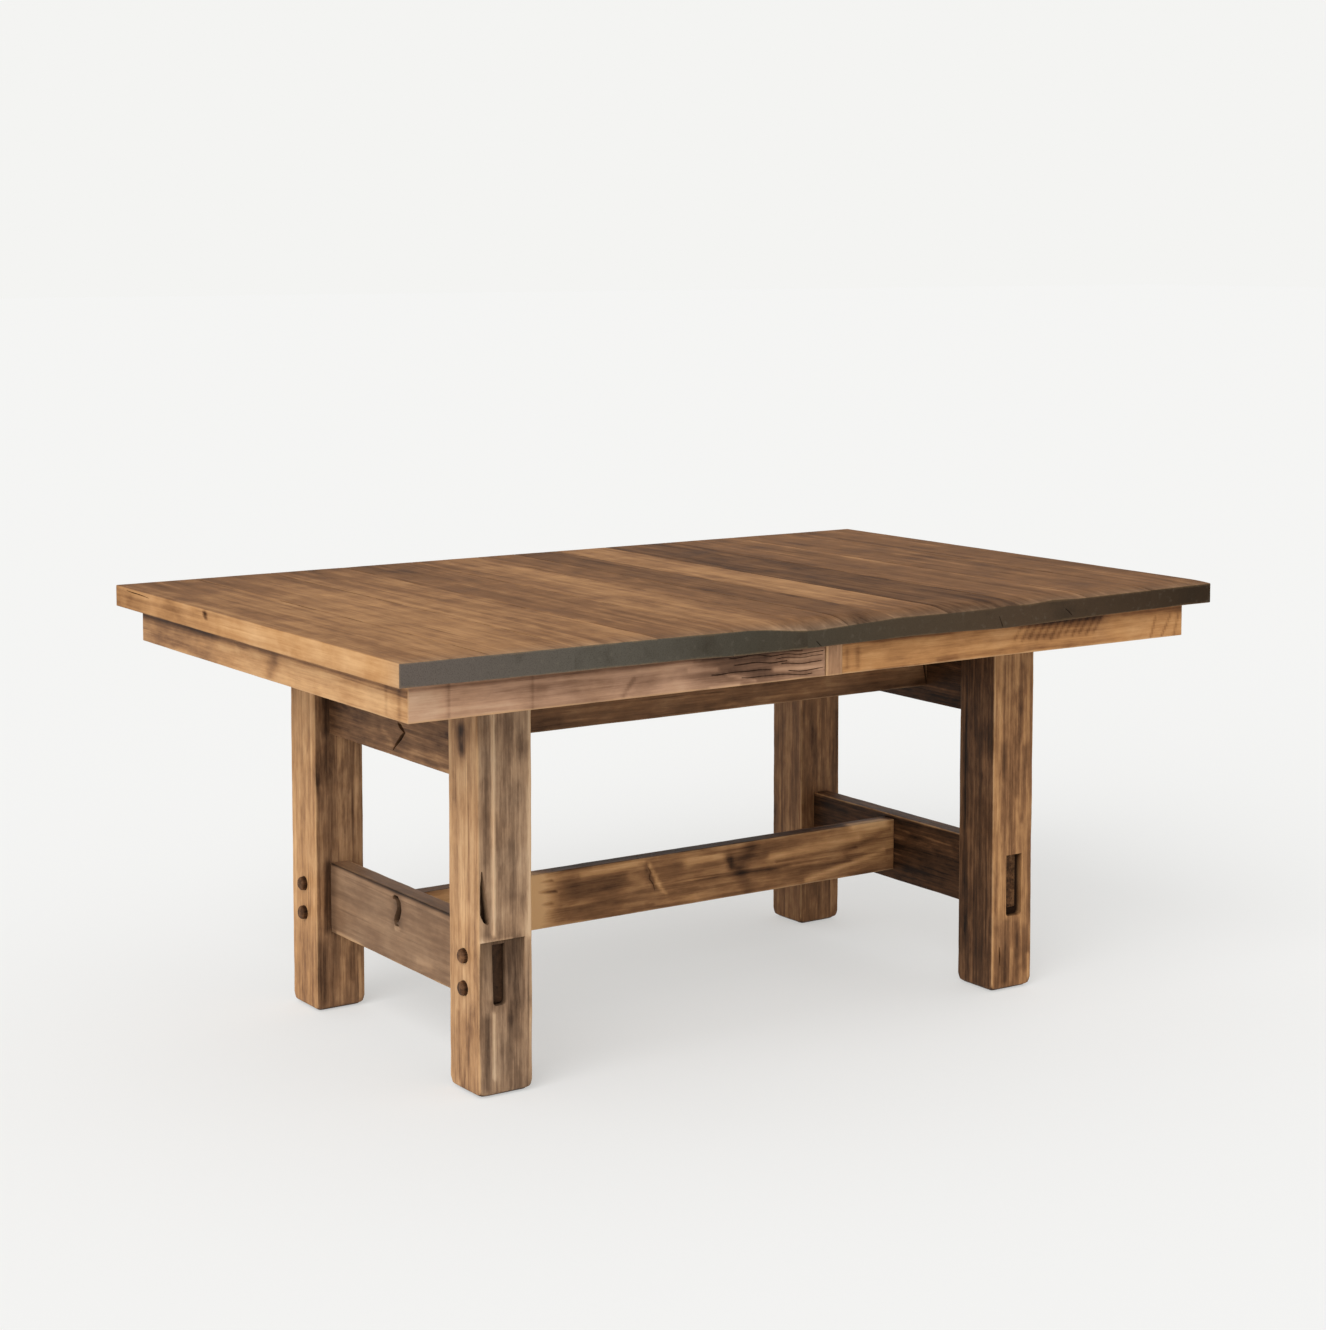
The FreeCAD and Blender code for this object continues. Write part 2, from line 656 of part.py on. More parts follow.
# Aprons
def front_apron(half):
    """One half's front apron: mitred at its outer end, rebated at the seam for the lap batten."""
    seam_x = half * half_seam
    outline = [
        Vector(half * apron_outer_x, -apron_outer_y, apron_bottom),
        Vector(seam_x, -apron_outer_y, apron_bottom),
        Vector(seam_x, -apron_inner_y, apron_bottom),
        Vector(half * apron_inner_x, -apron_inner_y, apron_bottom),
    ]
    apron = prism(outline, Z_AXIS * APRON_HEIGHT)
    lap_gap = LAP_GAP if half < 0 else 0
    lap_clearance = LAP_CLEARANCE if half < 0 else 0
    rebate = box(
        half * (BATTEN_WIDTH / 2 + lap_gap), seam_x - half * OVERRUN,
        -apron_outer_y - OVERRUN, -apron_outer_y + BATTEN_THICKNESS + lap_clearance,
        apron_bottom - OVERRUN, slab_bottom + OVERRUN,
    )
    return apron.cut(rebate)


def end_apron(half):
    """One half's end apron, mitred at both corners."""
    outline = [
        Vector(half * apron_outer_x, -apron_outer_y, apron_bottom),
        Vector(half * apron_inner_x, -apron_inner_y, apron_bottom),
        Vector(half * apron_inner_x, apron_inner_y, apron_bottom),
        Vector(half * apron_outer_x, apron_outer_y, apron_bottom),
    ]
    return prism(outline, Z_AXIS * APRON_HEIGHT)


def front_batten():
    """The upright strip that covers the apron seam: glued to the right apron, lapping over the left."""
    return box(
        -BATTEN_WIDTH / 2, BATTEN_WIDTH / 2,
        -apron_outer_y, -apron_outer_y + BATTEN_THICKNESS,
        apron_bottom, slab_bottom,
    )


def front_corner_block(half):
    """A three-cornered glue block inside an apron corner, up against the boards."""
    corner_z = slab_bottom - CORNER_BLOCK_HEIGHT
    outline = [
        Vector(half * apron_inner_x, -apron_inner_y, corner_z),
        Vector(half * (apron_inner_x - CORNER_BLOCK_LEG), -apron_inner_y, corner_z),
        Vector(half * apron_inner_x, -apron_inner_y + CORNER_BLOCK_LEG, corner_z),
    ]
    return prism(outline, Z_AXIS * CORNER_BLOCK_HEIGHT)


# Locks
def front_lock_plate():
    """The right half's lock plate under the boards, with the rivet that the lever turns on."""
    plate = box(
        LOCK_PIVOT_X - LOCK_PLATE_LENGTH / 2, LOCK_PIVOT_X + LOCK_PLATE_LENGTH / 2,
        -lock_y - LOCK_PLATE_WIDTH / 2, -lock_y + LOCK_PLATE_WIDTH / 2,
        slab_bottom - LOCK_PLATE_THICKNESS, slab_bottom,
    )
    plate_foot = Vector(LOCK_PIVOT_X, -lock_y, slab_bottom - LOCK_PLATE_THICKNESS)
    shank_length = LEVER_THICKNESS + 2 * LEVER_GAP
    shank = rod(RIVET_DIAMETER / 2, shank_length, plate_foot, -Z_AXIS)
    head_top = plate_foot - Z_AXIS * shank_length
    head = rod(RIVET_HEAD_DIAMETER / 2, RIVET_HEAD_HEIGHT, head_top, -Z_AXIS)
    return plate.fuse(shank).fuse(head).removeSplitter()


def front_lock_keeper():
    """The left half's keeper: a plate with a pin that the lever hooks round."""
    plate = box(
        -LOCK_KEEPER_X - LOCK_PLATE_LENGTH / 2, -LOCK_KEEPER_X + LOCK_PLATE_LENGTH / 2,
        -lock_y - LOCK_PLATE_WIDTH / 2, -lock_y + LOCK_PLATE_WIDTH / 2,
        slab_bottom - LOCK_PLATE_THICKNESS, slab_bottom,
    )
    plate_foot = Vector(-LOCK_KEEPER_X, -lock_y, slab_bottom - LOCK_PLATE_THICKNESS)
    return plate.fuse(rod(KEEPER_PIN_DIAMETER / 2, KEEPER_PIN_LENGTH, plate_foot, -Z_AXIS))


def front_lock_lever():
    """The hooked lever, drawn locked round the keeper's pin and then swung open."""
    pivot = Vector(LOCK_PIVOT_X, -lock_y, lever_bottom)
    half = LEVER_WIDTH / 2
    slot = KEEPER_PIN_DIAMETER / 2 + KEEPER_SLOT_CLEARANCE
    outline = [
        (-LEVER_TAIL, half),
        (-LEVER_TAIL, -half),
        (lock_reach - LEVER_HOOK, -half),
        (lock_reach - LEVER_HOOK, -LEVER_HOOK),
        (lock_reach - slot - LEVER_MOUTH_FLARE, -LEVER_HOOK),
        (lock_reach - slot, slot),
        (lock_reach + slot, slot),
        (lock_reach + slot, -LEVER_HOOK),
        (lock_reach + LEVER_HOOK, -LEVER_HOOK),
        (lock_reach + LEVER_HOOK, half),
    ]
    points = [pivot + Vector(-along, across, 0) for along, across in outline]
    lever = prism(points, Z_AXIS * LEVER_THICKNESS)
    bore_foot = pivot - Z_AXIS * OVERRUN
    bore_length = LEVER_THICKNESS + 2 * OVERRUN
    lever = lever.cut(rod(RIVET_DIAMETER / 2 + LEVER_BORE_CLEARANCE, bore_length, bore_foot, Z_AXIS))
    lever.rotate(pivot, Z_AXIS, -LOCK_SWING_ANGLE)
    return lever


os.makedirs("parts", exist_ok=True)

leg = front_left_leg()
save("leg_front_left", leg)
save("leg_back_left", mirror_y(leg))
save("leg_front_right", mirror_x(leg))
save("leg_back_right", mirror_x(mirror_y(leg)))

left_front_pegs = [left_peg(level) for level in peg_levels]
left_pegs = left_front_pegs + [mirror_y(peg) for peg in left_front_pegs]
save("stretcher_pegs", *(left_pegs + [mirror_x(peg) for peg in left_pegs]))

end_stretcher = left_end_stretcher()
save("end_stretcher_left", end_stretcher)
save("end_stretcher_right", mirror_x(end_stretcher))
upper_rail = left_upper_rail()
save("upper_rail_left", upper_rail)
save("upper_rail_right", mirror_x(upper_rail))

centre_stretcher = lengthwise_member(
    0, CENTRE_STRETCHER_THICKNESS, CENTRE_STRETCHER_BOTTOM, CENTRE_STRETCHER_HEIGHT, STUB_TENON_SHOULDER
)
save("centre_stretcher", centre_stretcher)
long_rail = lengthwise_member(
    -SLIDE_CENTRE_Y, LONG_RAIL_THICKNESS, long_rail_bottom, LONG_RAIL_HEIGHT, long_rail_shoulder
)
save("long_rail_front", long_rail)
save("long_rail_back", mirror_y(long_rail))

beam = front_beam()
save("slide_beam_front", beam)
save("slide_beam_back", mirror_y(beam))
save("slide_beam_screws", *beam_screws())
pin = front_pin()
save("pinion_pins", pin, mirror_y(pin))
pinion = front_pinion()
save("pinion_front", pinion)
save("pinion_back", mirror_y(pinion))

for half, side in ((-1, "left"), (1, "right")):
    for number, board in enumerate(top_boards(half), 1):
        save("top_board_%s_%d" % (side, number), board)
    screw_places = screw_places_of(half)
    runner = front_runner(half, screw_places)
    save("slide_runner_front_" + side, runner)
    save("slide_runner_back_" + side, mirror_y(runner))
    save("runner_screws_" + side, *runner_screws(half, screw_places))
    rack = front_rack(half)
    save("rack_front_" + side, rack)
    save("rack_back_" + side, mirror_y(rack))
    apron = front_apron(half)
    save("apron_front_" + side, apron)
    save("apron_back_" + side, mirror_y(apron))
    save("apron_end_" + side, end_apron(half))
    block = front_corner_block(half)
    save("corner_blocks_" + side, block, mirror_y(block))

save("alignment_dowels", *[alignment_dowel(share) for share in DOWEL_WIDTH_SHARES])
batten = front_batten()
save("seam_batten_front", batten)
save("seam_batten_back", mirror_y(batten))

keeper = front_lock_keeper()
save("lock_keepers", keeper, mirror_y(keeper))
plate = front_lock_plate()
save("lock_plates", plate, mirror_y(plate))
lever = front_lock_lever()
save("lock_lever_front", lever)
save("lock_lever_back", mirror_y(lever))
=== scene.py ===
import math

import bmesh
import bpy
import numpy as np
from mathutils import Matrix, Vector, noise


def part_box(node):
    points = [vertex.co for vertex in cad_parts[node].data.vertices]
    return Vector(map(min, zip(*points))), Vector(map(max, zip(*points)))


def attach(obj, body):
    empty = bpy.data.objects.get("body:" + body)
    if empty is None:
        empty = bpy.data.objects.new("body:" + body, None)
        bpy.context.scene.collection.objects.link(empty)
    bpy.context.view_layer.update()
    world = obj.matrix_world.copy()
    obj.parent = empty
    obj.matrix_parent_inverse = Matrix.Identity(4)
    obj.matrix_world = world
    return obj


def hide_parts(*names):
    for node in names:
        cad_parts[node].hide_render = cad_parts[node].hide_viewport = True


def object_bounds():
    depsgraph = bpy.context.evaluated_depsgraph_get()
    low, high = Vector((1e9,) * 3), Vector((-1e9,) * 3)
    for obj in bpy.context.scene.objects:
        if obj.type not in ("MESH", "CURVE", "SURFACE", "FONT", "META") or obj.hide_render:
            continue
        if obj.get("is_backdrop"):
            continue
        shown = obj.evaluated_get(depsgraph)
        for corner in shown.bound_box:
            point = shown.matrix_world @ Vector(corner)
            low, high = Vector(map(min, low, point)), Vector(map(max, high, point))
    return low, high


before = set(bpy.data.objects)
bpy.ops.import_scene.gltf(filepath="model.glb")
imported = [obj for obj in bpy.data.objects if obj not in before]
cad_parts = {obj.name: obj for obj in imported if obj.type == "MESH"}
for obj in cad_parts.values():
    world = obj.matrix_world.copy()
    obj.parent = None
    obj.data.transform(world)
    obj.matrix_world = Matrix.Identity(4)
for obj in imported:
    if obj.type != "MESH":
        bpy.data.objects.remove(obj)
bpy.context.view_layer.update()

# Legs
# Four square posts sawn from old beams, the grain upright, with worn arrises and rounded feet.
# A slot is chopped right through each one for its stretcher's tenon, and two holes take the pegs.
MM = 0.001
ARRIS_LOOPS = (1.5 * MM, 3.5 * MM, 6.5 * MM, 11 * MM)
CHECK_PROUD = 6 * MM
CHECK_TAPER = 0.45


def blank(low, high, shape=None):
    """A plain sawn block between two corners, in a mesh of its own or added to another."""
    shape = shape or bmesh.new()
    place = Matrix.Translation((low + high) / 2) @ Matrix.Diagonal((*(high - low), 1))
    bmesh.ops.create_cube(shape, size=1, matrix=place)
    return shape


def joined(shape, other):
    """Adds another shape to a shape."""
    mesh = bpy.data.meshes.new("joined")
    other.to_mesh(mesh)
    other.free()
    shape.from_mesh(mesh)
    bpy.data.meshes.remove(mesh)


def scribe(shape, axis, places):
    """Cuts a line round a block at each place along an axis."""
    along = Vector((0, 0, 0))
    along[axis] = 1
    for place in places:
        everything = shape.verts[:] + shape.edges[:] + shape.faces[:]
        bmesh.ops.bisect_plane(shape, geom=everything, dist=1e-7, plane_co=along * place, plane_no=along)


def mesh_finely(shape, spacing):
    """Divides the straight runs of a block into cells of about the spacing."""
    for axis in range(3):
        runs = {}
        for edge in shape.edges:
            span = edge.verts[1].co - edge.verts[0].co
            cuts = round(span.length / spacing[axis]) - 1
            if abs(span[axis]) > 0.99 * span.length and cuts > 0:
                runs.setdefault(cuts, []).append(edge)
        for cuts, edges in runs.items():
            bmesh.ops.subdivide_edges(shape, edges=edges, cuts=cuts, use_grid_fill=True)


def sawn(low, high, spacing, extra=()):
    """A block with lines close beside its arrises, extra lines at (axis, place), and a fine mesh between."""
    shape = blank(low, high)
    for axis in range(3):
        loops = [inset for inset in ARRIS_LOOPS if inset < 0.4 * (high[axis] - low[axis])]
        scribe(shape, axis, [low[axis] + inset for inset in loops])
        scribe(shape, axis, [high[axis] - inset for inset in loops])
    for axis, place in extra:
        scribe(shape, axis, [place])
    mesh_finely(shape, spacing)
    return shape


def rough(place, size, seed):
    """A smooth random value from 0 to 1 that changes over about the given length."""
    return 0.5 + 0.5 * noise.noise(place / size + Vector((seed * 7.3, seed * 3.1, seed * 1.7)))


ARRIS_WAVES = (70 * MM, 17 * MM)
HOLLOW_WAVES = (90 * MM, 22 * MM)


def weathered(shape, low, high, ease, hollow, seed, lip=None):
    """Wears a block's arrises round by an uneven amount and its faces a little hollow.
    The lip gives the further wear at a place."""
    middle, half = (low + high) / 2, (high - low) / 2
    for vert in shape.verts:
        local = vert.co - middle
        broad, small = rough(vert.co, ARRIS_WAVES[0], seed), rough(vert.co, ARRIS_WAVES[1], seed + 5)
        worn = ease * (0.3 + 1.5 * broad ** 2 + 0.5 * small)
        if lip:
            worn += lip(vert.co)
        core = Vector([max(worn - h, min(h - worn, part)) for part, h in zip(local, half)])
        out = local - core
        if out.length > 0:
            broad, small = rough(vert.co, HOLLOW_WAVES[0], seed + 9), rough(vert.co, HOLLOW_WAVES[1], seed)
            sunk = hollow * (0.75 * broad + 0.25 * small)
            vert.co = middle + core + out.normalized() * (worn - sunk)
    return shape


def check(cutter, axis, level, outward, spine, depth, taper=CHECK_TAPER):
    """Adds a drying check or a rotted knot to what is cut away: a winding groove that narrows inwards.
    The spine's rows give two places on the face and half the width there, in millimetres."""
    across, up = [other for other in range(3) if other != axis]
    rows = []
    for before, here, after in zip(spine[:1] + spine[:-1], spine, spine[1:] + spine[-1:]):
        run = Vector((after[0] - before[0], after[1] - before[1])).normalized()
        row = []
        for side in (1, -1):
            point = Vector((0, 0, 0))
            point[axis] = level + outward * CHECK_PROUD
            point[across] = (here[0] - side * run.y * here[2]) * MM
            point[up] = (here[1] + side * run.x * here[2]) * MM
            row.append(cutter.verts.new(point))
        rows.append(row)
    mouth = [cutter.faces.new((a[0], a[1], b[1], b[0])) for a, b in zip(rows, rows[1:])]
    sunk = bmesh.ops.extrude_face_region(cutter, geom=mouth)["geom"]
    for vert in [part for part in sunk if isinstance(part, bmesh.types.BMVert)]:
        flat = vert.co.copy()
        nearest = min(spine, key=lambda row: (row[0] * MM - flat[across]) ** 2 + (row[1] * MM - flat[up]) ** 2)
        vert.co[across] += (nearest[0] * MM - flat[across]) * taper
        vert.co[up] += (nearest[1] * MM - flat[up]) * taper
        vert.co[axis] = level - outward * depth


def bored(cutter, mouth, radius, depth, facets):
    """Adds a round hole along the table to what is cut away, equally deep on both sides of its mouth."""
    place = Matrix.Translation(mouth) @ Matrix.Rotation(math.pi / 2, 4, "Y")
    bmesh.ops.create_cone(
        cutter, cap_ends=True, segments=facets, radius1=radius, radius2=radius, depth=2 * depth, matrix=place,
    )


def as_object(name, shape):
    """Turns a finished mesh into an object at the origin."""
    bmesh.ops.recalc_face_normals(shape, faces=shape.faces)
    mesh = bpy.data.meshes.new(name)
    shape.to_mesh(mesh)
    shape.free()
    made = bpy.data.objects.new(name, mesh)
    bpy.context.scene.collection.objects.link(made)
    return made


def carve(piece, cutter):
    """Cuts the cutter's closed shapes out of a piece."""
    tool = as_object("carving", cutter)
    cut = piece.modifiers.new("carving", "BOOLEAN")
    cut.operation, cut.solver, cut.use_self, cut.object = "DIFFERENCE", "EXACT", True, tool
    seen = piece.evaluated_get(bpy.context.evaluated_depsgraph_get())
    carved = bpy.data.meshes.new_from_object(seen)
    piece.modifiers.clear()
    plain, piece.data = piece.data, carved
    for spare in (plain, tool.data):
        bpy.data.meshes.remove(spare)
    carved.name = piece.name


SIDE_BLEND = 0.4 * MM
WEAR_REACH = 8 * MM
HOLLOW_START = 1.6 * MM
HOLLOW_REACH = 6 * MM
SHARP_ANGLE = math.radians(38)


def marked(piece, low, high, grain, seed, tones, greys, stains_and_shade=(), own=None):
    """Stores for the material where a piece is worn, hollow, end grain, dark or grey.
    Tones and greys give the six sides. Stains and painted shade are soft strokes from one point to another,
    each with its half width in millimetres and how much lighter it is; some light strokes are painted highlights.
    Where low and high bound a whole that the piece is only a part of, own is the piece's own box."""
    mesh = piece.data
    places = np.zeros(len(mesh.vertices) * 3)
    mesh.vertices.foreach_get("co", places)
    places = places.reshape(-1, 3)
    depths = np.stack([places - np.array(low), np.array(high) - places], axis=2).clip(0)
    nearest = np.sort(depths.min(axis=2), axis=1)
    own_low, own_high = [np.array(corner) for corner in own or (low, high)]
    sunk = np.minimum(places - own_low, own_high - places).min(axis=1)
    weights = 1 / (depths.reshape(-1, 6) + SIDE_BLEND) ** 2
    weights /= weights.sum(axis=1, keepdims=True)

    stain_and_shade = np.zeros(len(places))
    for *ends, width, amount in stains_and_shade:
        start, run = np.array(ends[:3]) * MM, np.array(ends[3:]) * MM - np.array(ends[:3]) * MM
        share = ((places - start) @ run / max(run @ run, 1e-12)).clip(0, 1)
        gap = np.linalg.norm(places - start - share[:, None] * run, axis=1)
        # Each stroke adds its amount: real stains, and in places painted shade or painted highlights.
        stain_and_shade += amount * np.exp(-(gap / (width * MM)) ** 2)
    values = {
        "seed": np.full(len(places), float(seed)),
        "tone": weights @ np.array(tones) + stain_and_shade,
        "grey": weights @ np.array(greys),
        "wear": (1 - nearest[:, 1] / WEAR_REACH).clip(0, 1),
        # hollow grows with depth inside a cut; the material darkens with it, partly as painted shade.
        "hollow": ((sunk - HOLLOW_START) / HOLLOW_REACH).clip(0, 1),
        "end": weights[:, 2 * grain] + weights[:, 2 * grain + 1],
    }
    for name, column in values.items():
        mesh.attributes.new(name, "FLOAT", "POINT").data.foreach_set("value", column.astype(np.float32))
    mesh.shade_smooth()
    mesh.set_sharp_from_angle(angle=SHARP_ANGLE)


def fitted(piece, node, material, body):
    """Gives a piece its material and lets it stand for its CAD node."""
    piece.data.materials.append(material)
    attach(piece, body)
    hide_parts(node)


def paint(red, green, blue):
    """A colour written from 0 to 255 as a shader takes it."""
    parts = [part / 255 for part in (red, green, blue)]
    return (*[p / 12.92 if p < 0.04045 else ((p + 0.055) / 1.055) ** 2.4 for p in parts], 1)


class Tint:
    """One value in a material. Arithmetic on it adds Math nodes."""

    def __init__(self, tree, socket=None):
        self.tree = tree
        self.socket = socket

    def node(self, kind, settings=None, sockets=None, output=0):
        """Adds a node: its settings first, then the values or links of its sockets."""
        made = self.tree.nodes.new(kind)
        for name, value in (settings or {}).items():
            if name == "stops":
                for spot, colour in value[1:-1]:
                    made.color_ramp.elements.new(spot)
                for element, (spot, colour) in zip(made.color_ramp.elements, value):
                    element.position, element.color = spot, colour
            else:
                setattr(made, name, value)
        for name, value in (sockets or {}).items():
            if isinstance(value, Tint):
                self.tree.links.new(value.socket, made.inputs[name])
            else:
                made.inputs[name].default_value = value
        return Tint(self.tree, made.outputs[output])

    def math(self, operation, *others):
        """Adds one Math node on this value and the others."""
        return self.node("ShaderNodeMath", {"operation": operation}, dict(enumerate((self, *others))))

    def __add__(self, other):
        return self.math("ADD", other)

    def __sub__(self, other):
        return self.math("SUBTRACT", other)

    def __rsub__(self, other):
        return self.math("MULTIPLY_ADD", -1, other)

    def __mul__(self, other):
        return self.math("MULTIPLY", other)

    __radd__, __rmul__ = __add__, __mul__

    def step(self, low, high):
        """0 below low, 1 above high, with a soft rise between."""
        limits = {"Value": self, "From Min": low, "From Max": high}
        return self.node("ShaderNodeMapRange", {"interpolation_type": "SMOOTHSTEP"}, limits)

    def mix(self, first, second):
        """A colour between two, by this value."""
        blend = {"data_type": "RGBA", "clamp_factor": True}
        return self.node("ShaderNodeMix", blend, {0: self, 6: first, 7: second}, 2)

    def feeds(self, shader, name):
        """Links this value to a shader's socket."""
        self.tree.links.new(self.socket, shader.inputs[name])


AGED_BROWN = [paint(34, 21, 12), paint(81, 54, 34), paint(131, 92, 60), paint(183, 136, 90), paint(216, 170, 119)]
AGED_GREY = [paint(36, 28, 22), paint(78, 61, 48), paint(124, 101, 81), paint(168, 141, 115), paint(204, 177, 147)]
BARE_WOOD = paint(206, 164, 118)
# Colour of the wood deep inside cuts: the old wood's own dark inside splits, together with painted shade in slots,
# holes and checks.
SPLIT_AND_RECESS_SHADE = paint(40, 25, 15)


def near_arris(start, radius):
    """1 beside an arris and 0 away from it, for pieces that carry no marks of their own."""
    flat = start.node("ShaderNodeNewGeometry", output="Normal")
    eased = start.node("ShaderNodeBevel", {"samples": 4}, {"Radius": radius})
    alike = start.node("ShaderNodeVectorMath", {"operation": "DOT_PRODUCT"}, {0: flat, 1: eased}, "Value")
    return 1 - alike.step(0.85, 0.99)


def timber(
    name, grain, base=0.0, browns=AGED_BROWN, greys=AGED_GREY, edge=None, gloss=0.55, shine=0.1,
    figure=1.0, fine=0.9, cloud=0.3, rub=0.55, arris=None,
):
    """Old sawn wood: flowing rings, streaks, fibres, a few knots, grey patches and worn pale arrises.
    The base is added to the tone that the piece's own marks give."""
    material = bpy.data.materials.new(name)
    material.use_nodes = True
    shader = material.node_tree.nodes["Principled BSDF"]
    start = Tint(material.node_tree)
    place = start.node("ShaderNodeTexCoord", output="Object")
    tone, grey, wear, hollow, end, seed = [
        start.node("ShaderNodeAttribute", {"attribute_name": mark}, output="Fac")
        for mark in ("tone", "grey", "wear", "hollow", "end", "seed")
    ]

    def drawn_out(share):
        scale = [1, 1, 1]
        scale[grain] = share
        return start.node("ShaderNodeMapping", {}, {"Vector": place, "Scale": scale})

    def grainy(vector, scale, detail, roughness=0.55):
        sockets = {"Vector": vector, "W": seed, "Scale": scale, "Detail": detail, "Roughness": roughness}
        return start.node("ShaderNodeTexNoise", {"noise_dimensions": "4D"}, sockets)

    fibres, smears = drawn_out(0.035), drawn_out(0.3)
    cells = {"Vector": drawn_out(0.4), "W": seed, "Scale": 5.5, "Randomness": 1.0}
    knot_distance = start.node("ShaderNodeTexVoronoi", {"voronoi_dimensions": "4D"}, cells)
    knot_here = start.node("ShaderNodeTexVoronoi", {"voronoi_dimensions": "4D"}, cells, 1)
    knot_here = start.node("ShaderNodeSeparateColor", {}, {0: knot_here}).step(0.6, 0.65)
    knot = (1 - knot_distance.step(0.04, 0.12)) * knot_here
    knot_pull = (1 - knot_distance.step(0.0, 0.42)) * knot_here
    flow = grainy(drawn_out(0.09), 7, 2) + knot_pull * 0.16
    rings = (flow * 22).math("PINGPONG", 1)
    bands = grainy(fibres, 45, 3)
    streaks = grainy(fibres, 160, 3, 0.6)
    lines = grainy(fibres, 520, 2)
    furrows = grainy(drawn_out(0.02), 85, 4, 0.6).step(0.6, 0.68)
    smudges = grainy(smears, 20, 5, 0.6).step(0.55, 0.7)
    mottle = grainy(smears, 75, 4, 0.65)
    patches = grainy(place, 12, 4)
    shade = tone + base + (rings - 0.5) * (0.1 * figure) + (bands - 0.5) * (0.5 * figure) + (patches - 0.5) * cloud
    shade = shade + ((streaks - 0.5) * 0.5 + (lines - 0.5) * 0.25 + (mottle - 0.5) * 0.45) * fine
    shade = shade - (furrows * 0.18 + smudges * 0.16) * fine - knot * 0.25
    spots = (0, 0.25, 0.5, 0.75, 1)
    warm = start.node("ShaderNodeValToRGB", {"stops": list(zip(spots, browns))}, {0: shade})
    cold = start.node("ShaderNodeValToRGB", {"stops": list(zip(spots, greys))}, {0: shade})
    colour = (grey + (patches - 0.5) * 0.5).mix(warm, cold)
    if edge:
        colour = end.step(0.35, 0.8).mix(colour, edge(start, place, patches, lines, mottle))
    if arris:
        wear = near_arris(start, arris)
    rubbed = (wear + (patches - 0.5) * 1.3 + (streaks - 0.5) * 0.6).step(0.5, 0.95)
    colour = (rubbed * (tone + base).step(0.1, 0.7) * rub).mix(colour, BARE_WOOD)
    # Deeper in a cut the colour goes to the dark split colour: partly the old wood's dark, partly painted shade.
    colour = hollow.mix(colour, SPLIT_AND_RECESS_SHADE)
    colour.feeds(shader, "Base Color")
    (gloss + (patches - 0.5) * 0.25 + (lines - 0.5) * 0.2 + hollow * 0.3).feeds(shader, "Roughness")
    shader.inputs["Specular IOR Level"].default_value = shine
    height = rings * 0.2 + bands * 0.5 + streaks * 0.8 + lines * 0.5 - knot * 0.6 - furrows * 0.7
    bump = {"Height": height, "Strength": 0.4, "Distance": 0.9 * MM}
    start.node("ShaderNodeBump", {}, bump).feeds(shader, "Normal")
    return material


leg_timber = timber("leg_timber", 2, fine=1.2)
LEG_SPACING = Vector((4, 4, 7)) * MM
LEG_EASE = 2.6 * MM
FOOT_EASE = 12 * MM
FOOT_HEIGHT = 18 * MM
LEG_HOLLOW = 0.8 * MM
SLOT_OUTSET = 29 * MM
SLOT_WIDTH = 26 * MM
SLOT_BOTTOM = 151 * MM
SLOT_TOP = 251 * MM
SLOT_ROUND = 7 * MM
SLOT_RECESS = 14 * MM
PEG_HOLE_RADIUS = 12.7 * MM
PEG_LEVELS = (174.25 * MM, 227.75 * MM)
PEG_HOLE_DEPTH = 74 * MM
PEG_HOLE_FACETS = 20
FACE_LINES = (26 * MM, 27.5 * MM, 29 * MM)


def on_face(axis, level, strokes):
    """Strokes of stain, painted shade and painted highlight that all lie on one face, so that each end needs only two
    places.
    """
    rows = []
    for *ends, width, amount in strokes:
        for spot in (axis, axis + 3):
            ends.insert(spot, level)
        rows.append((*ends, width, amount))
    return rows


